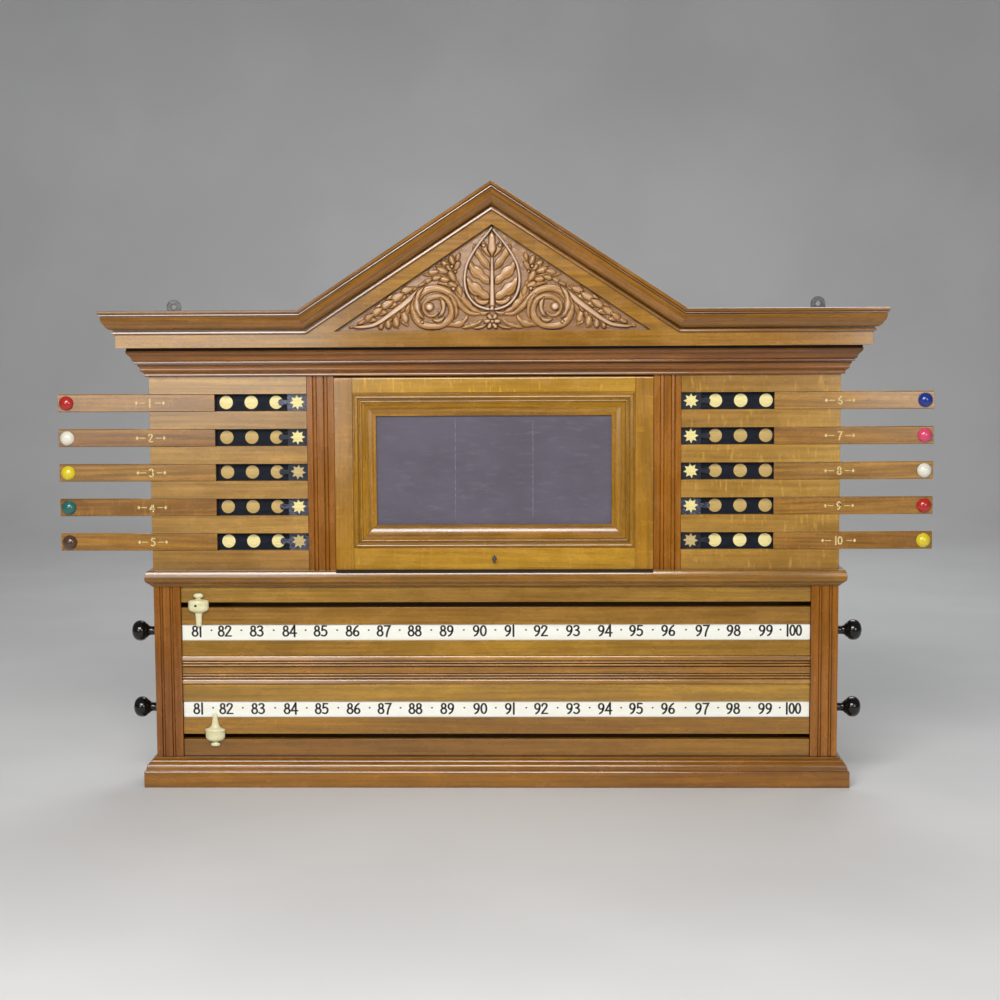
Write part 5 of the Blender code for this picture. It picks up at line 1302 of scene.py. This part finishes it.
for level, across, slot_z, way, shares, head_share in (
    ("upper", -0.4434, UPPER_SLOT_Z, 1, UPPER_POINTER, 0.358),
    ("lower", -0.4219, LOWER_SLOT_Z, -1, LOWER_POINTER, 0.29),
):
    head = POINTER_LENGTH * head_share
    outline = rounded_line(shares, POINTER_HALF_WIDTH, POINTER_LENGTH, 6)
    points = [
        Vector((
            across + radius * math.cos(angle), POINTER_FACE_Y - radius * FLATNESS * math.sin(angle),
            slot_z + way * (head - distance),
        ))
        for radius, distance in outline for angle in angles(24, math.pi)
    ]
    neck = box(
        (across - NECK_HALF, POINTER_FACE_Y - NECK_LAP, slot_z - NECK_HALF),
        (across + NECK_HALF, SCORE_BACK_Y + NECK_LAP, slot_z + NECK_HALF),
    )
    slider_y = SCORE_BACK_Y + SLIDER_PLAY
    slider = box(
        (across - SLIDER_HALF_WIDTH, slider_y, slot_z - SLIDER_HALF_HEIGHT),
        (across + SLIDER_HALF_WIDTH, slider_y + SLIDER_THICKNESS, slot_z + SLIDER_HALF_HEIGHT),
    )
    form = join([(points, skin(25, len(outline))), neck, slider])
    pointer = tidy(show(f"ivory_pointer_{level}", form, cream.material), 40)
    fit(pointer, f"pointer_{level}", "ivorine", f"pointer_{level}")
    if level == "upper":
        # The empty peg hole is shown by a flush plug of black paint: painted shade
        hole = turning(PEG_HOLE_ROWS, 20, (across - PEG_HOLE_ASIDE, POINTER_FACE_Y, slot_z))
        hole = tidy(show("pointer_peg_hole", hole, black_paint.material))
        fit(hole, "pointer_upper", "ivorine")

# ---- Pediment board -----------------------------------------------------------------------
# One broad board of quartered oak with a triangular sinking for the carving, and a short
# return at each end. The crown moulding is planted along its top.
BAND_TOP = 0.6771
FRIEZE_X = 0.549
FRIEZE_Y = -0.056
VALLEY_X = 0.270
APEX_Z = 0.8532
CROWN_PROJECTION = 0.021
CROWN_HEIGHT = 0.035
CROWN_SHARES = (
    (0.015, 0.0, 0), (0.06, 0.02, 0), (0.17, 0.03, 0), (0.19, 0.05, 0.1), (0.145, 0.145, 0.09),
    (0.11, 0.16, 0), (0.05, 0.165, 0), (0.05, 0.195, 0), (0.26, 0.21, 0), (0.62, 0.42, 0.22),
    (0.80, 0.62, 0.15), (0.86, 0.755, -0.12), (0.78, 0.765, 0), (0.78, 0.78, 0), (0.93, 0.79, 0),
    (0.91, 0.845, 0.1), (0.86, 0.85, 0), (0.86, 0.86, 0), (0.99, 0.87, 0),
    (1.0, 0.985, 0.03), (0.93, 1.0, 0), (0.015, 1.0, 0),
)
pediment_oak = oak("pediment_oak", tint(176, 124, 20), "X", fleck=0.1)
finish_node("pediment_board", pediment_oak, 0.0004)
crown_oak = oak("crown_oak", tint(146, 95, 20), figure=1.1, gloss=0.22)
section = rounded_line(CROWN_SHARES, CROWN_PROJECTION, CROWN_HEIGHT)
corners = [
    (-FRIEZE_X, BACK_FACE_Y, BAND_TOP), (-FRIEZE_X, FRIEZE_Y, BAND_TOP),
    (-VALLEY_X, FRIEZE_Y, BAND_TOP), (0, FRIEZE_Y, APEX_Z), (VALLEY_X, FRIEZE_Y, BAND_TOP),
    (FRIEZE_X, FRIEZE_Y, BAND_TOP), (FRIEZE_X, BACK_FACE_Y, BAND_TOP),
]
facings = [(-1, 0, 0)] + [(0, -1, 0)] * 4 + [(1, 0, 0)]
mould("crown_moulding", section, corners, facings, crown_oak, "case", 11.3)

# ---- Carving ------------------------------------------------------------------------------
# A lime-soft oak panel carved in relief: a pointed oval with a leaf in it, and on each side a
# leafy scroll that runs out into a frond. The hollows are painted darker as shade, the relief is
# darker towards the ground, and the tops are painted paler as a highlight.
PANEL_BASE_Z = 0.6811
PANEL_HEIGHT = 0.1523
PANEL_HALF_WIDTH = 0.2290
PANEL_GROUND_Y = -0.0478
PANEL_BACK_Y = -0.0443
COLUMNS = 640
ROWS = 240
MM = 0.001
LOBE_DEPTH = 0.16
FLUTE_DEPTH = 0.13
VEIN_WIDTH = 0.2
CUT_WIDTH = 0.9


def smooth_line(points):
    """A soft curve through rows of numbers."""
    points = np.array(points, float)
    before = np.vstack([2 * points[0] - points[1], points, 2 * points[-1] - points[-2]])
    line = []
    for i in range(1, len(before) - 2):
        a, b, c, d = before[i - 1], before[i], before[i + 1], before[i + 2]
        for t in (0, 0.2, 0.4, 0.6, 0.8):
            line.append(
                0.5 * (2 * b + (c - a) * t + (2 * a - 5 * b + 4 * c - d) * t * t
                       + (3 * b - a - 3 * c + d) * t ** 3)
            )
    return np.array(line + [points[-1]])


share_up = np.linspace(0, 1, ROWS + 1)
share_across = np.linspace(-1, 1, COLUMNS + 1)
grid_up, grid_across = np.meshgrid(share_up * 0.985, share_across, indexing="ij")
spot_x = (grid_across * (1 - grid_up) * PANEL_HALF_WIDTH / MM).ravel()
spot_z = (grid_up * PANEL_HEIGHT / MM).ravel()
relief = np.zeros_like(spot_x)


def raise_stroke(line, height, vein=0.0, flat=0.5, lobes=0, flutes=0, sides=(1, -1)):
    """Raises a tapering form along (across, up, half width) rows, on both sides of the panel. It
    lies over what is there, with a cut round its edge; lobes scallop its sides and flutes run
    along it."""
    curve = smooth_line(line)
    last = len(curve) - 1
    for side in sides:
        xs = curve[:, 0] * side
        reach = curve[:, 2].max() + 1.5
        near = np.where(
            (spot_x > xs.min() - reach) & (spot_x < xs.max() + reach)
            & (spot_z > curve[:, 1].min() - reach) & (spot_z < curve[:, 1].max() + reach)
        )[0]
        px, pz = spot_x[near], spot_z[near]
        best = np.zeros(len(near))
        edge = np.full(len(near), 9.0)
        for i in range(last):
            ax, az, aw = xs[i], curve[i, 1], curve[i, 2]
            bx, bz, bw = xs[i + 1], curve[i + 1, 1], curve[i + 1, 2]
            dx, dz = bx - ax, bz - az
            length = dx * dx + dz * dz + 1e-9
            part = np.clip(((px - ax) * dx + (pz - az) * dz) / length, 0, 1)
            wide = aw + (bw - aw) * part
            if lobes:
                scallop = 1 + np.cos(math.tau * lobes * (i + part) / last)
                wide = wide * (1 - LOBE_DEPTH * scallop)
            wide = np.maximum(wide, 0.05)
            away = np.hypot(px - ax - part * dx, pz - az - part * dz) / wide
            shape = np.clip(1 - away * away, 0, 1) ** flat
            if vein:
                shape = shape * (1 - vein * np.exp(-((away / VEIN_WIDTH) ** 2)))
            if flutes:
                shape = shape * (1 - FLUTE_DEPTH * (1 - np.cos(math.tau * flutes * away)))
            fade = min(1.0, 0.5 + 0.5 * min(aw, bw) / max(curve[:, 2].max(), 0.1) * 1.4)
            best = np.maximum(best, shape * fade)
            edge = np.minimum(edge, (away - 1) * wide)
        # What lies beneath is cut down along the form's edge, and a little under the form
        under = relief[near]
        under = np.where((edge > 0) & (edge < CUT_WIDTH), under * 0.45, under)
        relief[near] = np.where(best > 0, np.maximum(under * 0.7, best * height), under)


def raise_berry(across, up, radius, height, sides=(1, -1)):
    """Raises a round bead, with a cut round its foot."""
    for side in sides:
        away = np.hypot(spot_x - side * across, spot_z - up) / radius
        relief[:] = np.where((away > 1) & (away < 1.25), relief * 0.5, relief)
        relief[:] = np.maximum(relief, height * np.sqrt(np.clip(1 - away * away, 0, 1)))


# The leaf in the oval: four pairs of lobes, the stem over them, and three lobes at its top
raise_stroke([(5, 43, 2.0), (11, 40.5, 4.0), (18, 41, 4.6), (23.5, 45.5, 3.6), (24, 51, 1.4)],
             4.8, 0.2)
raise_stroke([(3, 47, 2.6), (11, 51, 6.2), (20, 57, 8.8), (28.5, 63.5, 8.6), (35, 72, 4.8),
              (37, 78, 1.4)], 5.6, 0.3, 0.42, 3, 1)
raise_stroke([(3, 68, 2.4), (10, 74, 6.0), (18, 81, 8.2), (26, 88, 8.0), (32.5, 96, 4.6),
              (34.5, 102, 1.4)], 5.6, 0.3, 0.42, 3, 1)
raise_stroke([(2.5, 88, 2.0), (8, 95, 4.8), (13.5, 102.5, 6.4), (19, 110, 6.4), (24, 118, 4.0),
              (26, 124, 1.2)], 5.4, 0.3, 0.42, 2, 1)
raise_stroke([(1.5, 107, 1.8), (6.5, 113.5, 4.0), (11, 120.5, 4.6), (13.6, 127, 3.0),
              (14, 131, 1.0)], 5.0, 0.2)
raise_stroke([(0, 34, 4.2), (0, 60, 3.4), (0, 90, 2.6), (0, 114, 1.8)], 6.2, 0.12)
raise_stroke([(0, 108, 2.0), (0, 118, 6.4), (0, 127, 7.6), (0, 136, 4.6), (0, 143, 1.0)],
             5.6, 0.3, 0.45, 2)
raise_berry(11.8, 122.5, 2.6, 6.0)
# The leaf that clings to the oval outside, and the sprigs at its top
raise_stroke([(57, 80, 1.4), (61, 89, 3.4), (63.5, 96, 3.8), (66.5, 103, 1.2)], 4.4, 0.3)
raise_stroke([(56, 80, 1.4), (54, 90, 3.4), (51.5, 98, 3.8), (50, 106, 1.2)], 4.6, 0.3)
raise_stroke([(57, 78, 1.6), (65, 85, 3.8), (73, 90.5, 4.2), (81, 94, 1.2)], 4.6, 0.3)
raise_stroke([(54, 72, 1.8), (65, 76, 4.4), (77, 79.5, 5.2), (89, 81.5, 4.0), (99, 81, 1.2)],
             4.8, 0.25, 0.45, 3, 1)
raise_stroke([(52, 62, 1.8), (60, 66, 3.6), (69, 68.5, 3.8), (78, 68.5, 1.2)], 4.4, 0.25)
raise_stroke([(5, 27, 2.0), (14, 25, 3.4), (24, 28.5, 4.6), (33, 36, 5.6), (41, 45, 6.4),
              (48, 56, 6.4), (53, 67, 5.4), (56, 78, 3.6), (57, 88, 1.4)], 5.4, 0.28, 0.45, 6, 1)


def raise_lobe(across, up, half, turn):
    """One plump leaf tip, pointing the way that turn says in degrees from across."""
    way_x, way_z = math.cos(math.radians(turn)), math.sin(math.radians(turn))
    raise_stroke(
        [(across + way_x * along * half, up + way_z * along * half, wide * half)
         for along, wide in ((-2.0, 0.35), (-0.7, 0.95), (0.6, 1.0), (1.6, 0.3))],
        4.4 + 0.4 * half, 0.34, 0.4, 0, 1,
    )


for across, up, half, turn in (
    (49, 107, 3.0, 100), (58, 101.5, 3.8, 70), (67.5, 96, 3.8, 35), (50, 94, 3.6, 120),
    (62, 90, 3.4, 50), (73, 87, 4.4, 15), (85.5, 84.5, 3.8, -10), (58, 79, 4.4, 60),
    (69, 74, 3.8, 10), (57, 66, 4.0, 30), (47, 58, 3.8, 75), (81, 76, 3.4, -15), (93, 72, 3.0, -30),
    (102, 66.5, 2.8, -30),
):
    raise_lobe(across, up, half, turn)
raise_berry(58.0, 92.5, 2.6, 6.4)
raise_berry(53.0, 85.0, 2.2, 5.8)
raise_berry(56.0, 60.5, 2.8, 6.4)
# The rim of the oval
raise_stroke([(0, 31, 2.1), (7, 31.3, 2.1), (20, 35.5, 2.1), (29, 43, 2.1), (35.5, 53, 2.1),
              (39, 65, 2.1), (39.4, 78, 2.1), (36.5, 94, 2.0), (30.5, 107, 2.0), (22, 120, 1.9),
              (13, 132, 1.8), (6, 140, 1.7), (0, 148, 1.5)], 7.0, 0, 0.35)
raise_berry(0, 32, 3.2, 7.2, (1,))
# The frond that runs out to the corner: lobes below and above its stem
for line in (
    [(117, 42, 1.8), (123.5, 33, 4.2), (127, 24, 5.0), (127, 15, 4.2), (123, 7.5, 1.4)],
    [(132, 32, 1.6), (137.5, 24, 4.0), (140.5, 16, 4.4), (140, 9, 3.2), (137, 4.4, 1.2)],
    [(145, 24, 1.4), (149.5, 17, 3.6), (152, 10.5, 3.6), (150.5, 4.8, 1.4)],
    [(156, 17, 1.2), (160.5, 11, 2.8), (162.5, 6.5, 2.6), (161.5, 3.2, 1.0)],
):
    raise_stroke([(x, z, 1.3 * half) for x, z, half in line], 5.0, 0.3, 0.45, 2, 1)
for line in (
    [(109, 53, 1.6), (116.5, 57.5, 3.6), (124, 60, 3.8), (131, 59, 1.2)],
    [(121, 45, 1.8), (130.5, 49, 4.2), (140, 49.5, 4.8), (148.5, 46, 3.4), (155, 41.5, 1.2)],
    [(134, 34.5, 1.8), (145, 38.5, 4.2), (156, 37.5, 4.6), (165.5, 33, 3.2), (172, 28.5, 1.2)],
    [(149, 24.5, 1.6), (160, 27.5, 3.8), (171, 26, 4.0), (180, 22, 2.8), (186.5, 17.5, 1.0)],
    [(165, 13.5, 1.4), (175, 16.5, 3.2), (185, 15, 3.0), (194, 11.5, 1.0)],
):
    raise_stroke([(x, z, 1.35 * half) for x, z, half in line], 5.2, 0.28, 0.45, 2, 1)
for across, up, half, turn in (
    (112, 60, 3.4, 20), (124, 58.5, 4.6, -20), (138, 48.5, 5.0, -30), (153, 38, 5.0, -32),
    (168, 27.5, 4.6, -34), (179.5, 19.5, 3.8, -34), (190, 12.8, 3.0, -30),
    (127, 20, 4.8, -105), (139.5, 13.5, 4.4, -100), (151, 10, 3.8, -95), (161.5, 7.5, 3.0, -90),
    (130, 32, 3.4, -60), (143, 24, 3.2, -60),
):
    raise_lobe(across, up, half, turn)
raise_stroke([(86, 65, 1.2), (95, 63.5, 2.4), (105, 58.5, 3.6), (117, 48, 4.4), (128, 38.5, 4.6),
              (139, 30.5, 4.4), (150, 22.5, 4.0), (160, 15.5, 3.6), (172, 9, 3.2), (185, 6.5, 3.0),
              (196, 5.8, 2.4), (203, 6.5, 1.2)], 5.8, 0.22, 0.45)
raise_berry(205.5, 6.2, 2.4, 3.6)
# The foot leaves and the flower between them
raise_stroke([(44, 4.5, 1.4), (36, 6, 3.6), (28, 8, 4.2), (20.5, 11.5, 3.4), (15, 16, 1.2)],
             4.2, 0.25, 0.45, 3, 1)
raise_stroke([(26, 3.4, 1.2), (19, 4.6, 2.6), (13, 6.5, 2.4), (8, 10, 1.0)], 3.8, 0.2)
raise_stroke([(74, 13, 1.8), (63, 10, 4.2), (53, 9, 5.2), (44, 12, 4.8), (38.5, 17.5, 3.0),
              (36, 23, 1.2)], 4.8, 0.28, 0.45, 3, 1)
for step in range(6):
    angle = math.tau * (step + 0.5) / 6 + math.pi / 6
    way_x, way_z = math.cos(angle), math.sin(angle)
    raise_stroke([(way_x * part, 13.4 + way_z * part, half_width)
                  for part, half_width in ((1.5, 1.4), (5, 3.2), (8.5, 3.4), (11, 1.2))],
                 5.6, 0.3, 0.45, sides=(1,))
raise_berry(0, 13.4, 2.8, 6.6, (1,))
# The scroll: one leaf-edged band that turns in on itself, with leaves over it and an eye
raise_stroke([(19, 24, 1.6), (31, 25, 3.0), (43, 34, 4.0), (54.5, 47, 4.6), (66, 57, 5.0),
              (80, 61.5, 5.0), (94, 59, 5.0), (105, 51, 5.0), (112, 40, 5.0), (113.5, 28, 5.2),
              (109, 16, 5.4), (99, 8.5, 5.4), (86, 6.2, 5.0), (73, 8.5, 4.8), (63, 16, 4.8),
              (58.5, 27, 4.8), (61, 39, 4.6), (69, 47, 4.4), (80, 50, 4.2), (90.5, 47, 3.8),
              (98, 39.5, 3.4), (98.5, 29.5, 3.0), (92.5, 22.5, 2.6), (84.5, 22, 2.2),
              (79, 26.5, 1.8)], 5.6, 0.3, 0.42, 0, 1)
raise_stroke([(100, 62, 1.4), (107, 53, 3.6), (109.5, 42, 4.8), (108, 31, 4.6), (104, 23, 3.0),
              (99.5, 18, 1.2)], 6.6, 0.3, 0.45, 3, 1)
raise_stroke([(75, 47, 1.4), (71, 40, 3.4), (70.5, 32, 4.0), (73.5, 25, 2.8), (78, 20.5, 1.2)],
             5.4, 0.28, 0.45, 2)
raise_stroke([(86, 17, 1.2), (81, 14.5, 2.8), (75, 15.5, 3.0), (70, 19.5, 1.2)], 5.0, 0.2)
raise_stroke([(62, 52, 1.2), (56, 44, 3.2), (52.5, 34, 3.8), (52, 25, 2.6), (54, 18, 1.2)],
             5.4, 0.28, 0.45, 2, 1)
raise_berry(90.8, 34.6, 6.2, 6.9)
raise_berry(101.5, 12.5, 2.4, 6.2)

field = relief.reshape(ROWS + 1, COLUMNS + 1)


def soften(values, times):
    """Blurs a grid by its neighbours, so many times over."""
    for _ in range(times):
        wide = np.pad(values, 1, mode="edge")
        values = (
            wide[1:-1, 1:-1] * 4 + wide[:-2, 1:-1] + wide[2:, 1:-1] + wide[1:-1, :-2]
            + wide[1:-1, 2:]
        ) / 8
    return values


# Painted shade darkens the hollows, the relief is darker towards the ground, the highest parts
# are painted paler as a highlight, and the ground keeps the marks of the tools
field = soften(field, 1)
hollow = np.clip((soften(field, 14) - field) / 2.4 + 0.35, 0, 1)
deep = np.clip(1 - field / 2.6, 0, 1)
shade = np.clip(0.70 * hollow + 0.26 * deep, 0, 1).ravel()
# Painted highlight: the highest parts of the relief are marked to be painted pale
highlight_share = np.clip((field - 3.6) / 2.8, 0, 1).ravel()
tooled = 0.18 * np.sin(spot_x * 1.9 + 2.1 * np.sin(spot_z * 0.6)) * np.sin(
    spot_z * 2.3 + 1.7 * np.sin(spot_x * 0.5)
)
risen = field.ravel() + np.where(field.ravel() < 0.4, tooled, 0)
points = np.stack(
    [spot_x * MM, PANEL_GROUND_Y - risen * MM, PANEL_BASE_Z + spot_z * MM], axis=1
)
size = COLUMNS + 1
faces = [
    (first, first + 1, first + size + 1, first + size)
    for row in range(ROWS) for first in range(row * size, row * size + COLUMNS)
]
rim = list(range(size))
rim += [row * size + COLUMNS for row in range(1, ROWS + 1)]
rim += [ROWS * size + column for column in range(COLUMNS - 1, -1, -1)]
rim += [row * size for row in range(ROWS - 1, 0, -1)]
start = len(points)
back = points[rim].copy()
back[:, 1] = PANEL_BACK_Y
points = np.vstack([points, back])
for i in range(len(rim)):
    j = (i + 1) % len(rim)
    faces.append((rim[j], rim[i], start + i, start + j))
faces.append(tuple(range(start + len(rim) - 1, start - 1, -1)))

carved = Finish("waxed_carving", 0.30)
rings = carved.noise((9, 160, 240), 4, 0.6)
cloud = carved.noise((30, 60, 60), 4, 0.6)
dark = carved.node("Attribute", {}, "Fac", attribute_name="shade")
bright = carved.node("Attribute", {}, "Fac", attribute_name="highlight_share")
colour = carved.mix(tint(166, 116, 56), tint(186, 136, 76), carved.ramp(cloud, 0.3, 0.7))
colour = carved.shaded(colour, rings, 0.82, 1.08)
# Painted shade: the hollows and the low ground are mixed towards dark brown
colour = carved.mix(colour, tint(96, 54, 20), carved.ramp(dark, 0.22, 0.85, 0, 0.9))
# Painted highlight: the highest parts are mixed towards a pale pink
colour = carved.mix(colour, tint(236, 204, 178), carved.ramp(bright, 0.1, 1, 0, 0.8))
# More painted shade, by ambient occlusion, darkens the narrow places
carved.set(
    Base_Color=carved.mix(tint(58, 32, 14), colour, carved.crevices(0.005, 0.1, 0.8)),
    Roughness=carved.ramp(cloud, 0.3, 0.7, 0.26, 0.38), Coat_Weight=0.9, Coat_Roughness=0.12,
)
carved.relief(rings, 0.0001, 0.4)
carving = show("carved_relief", (points, faces), carved.material)
for layer_name, values, at_back in (("shade", shade, 0.8), ("highlight_share", highlight_share, 0.0)):
    layer = carving.data.attributes.new(layer_name, "FLOAT", "POINT")
    at_all = np.concatenate([values, np.full(len(rim), at_back)])
    layer.data.foreach_set("value", at_all.astype(np.float32))
carving.data.shade_smooth()
carving.data.set_sharp_from_angle(angle=math.radians(60))
fit(carving, "case", "carved_oak", "carved_panel")

# ---- Hanging plates -----------------------------------------------------------------------
# Two iron plates let into the back board, each with a round ear above the crown for the wall
# screw, and held by two screws.
PLATE_X = 0.4875
PLATE_FOOT = 0.6751
PLATE_HALF_WIDTH = 0.011
PLATE_FRONT_Y = 0.0755
PLATE_TOP = 0.7291
EAR_Z = PLATE_TOP - PLATE_HALF_WIDTH
HOLE_ROWS = [(0.0035, -0.01), (0.0035, 0.01)]
PLATE_SCREW_ROWS = [(0.0002, -0.0012), (0.0022, -0.0009), (0.0034, -0.0001), (0.0034, 0.0003)]
for side, sign in SIDES:
    middle = sign * PLATE_X
    outline = [(middle - PLATE_HALF_WIDTH, PLATE_FOOT), (middle + PLATE_HALF_WIDTH, PLATE_FOOT)]
    outline += [
        (middle + PLATE_HALF_WIDTH * math.cos(angle), EAR_Z + PLATE_HALF_WIDTH * math.sin(angle))
        for angle in angles(24, math.pi)
    ]
    plate = prism(outline, "Y", PLATE_FRONT_Y, BACK_FACE_Y)
    plate = tidy(show(f"wall_plate_{side}", plate, iron.material))
    cut_away(plate, turning(HOLE_ROWS, 32, (middle, PLATE_FRONT_Y, EAR_Z)))
    fit(ease(tidy(plate), 0.0002, 1), "case", "dull_iron", f"hanging_plate_{side}")
    heads = [
        turning(PLATE_SCREW_ROWS, 24, (middle, BACK_FACE_Y, PLATE_FOOT + height))
        for height in (0.008, 0.024)
    ]
    fit(tidy(show(f"plate_screws_{side}", join(heads), iron.material)), "case", "dull_iron")
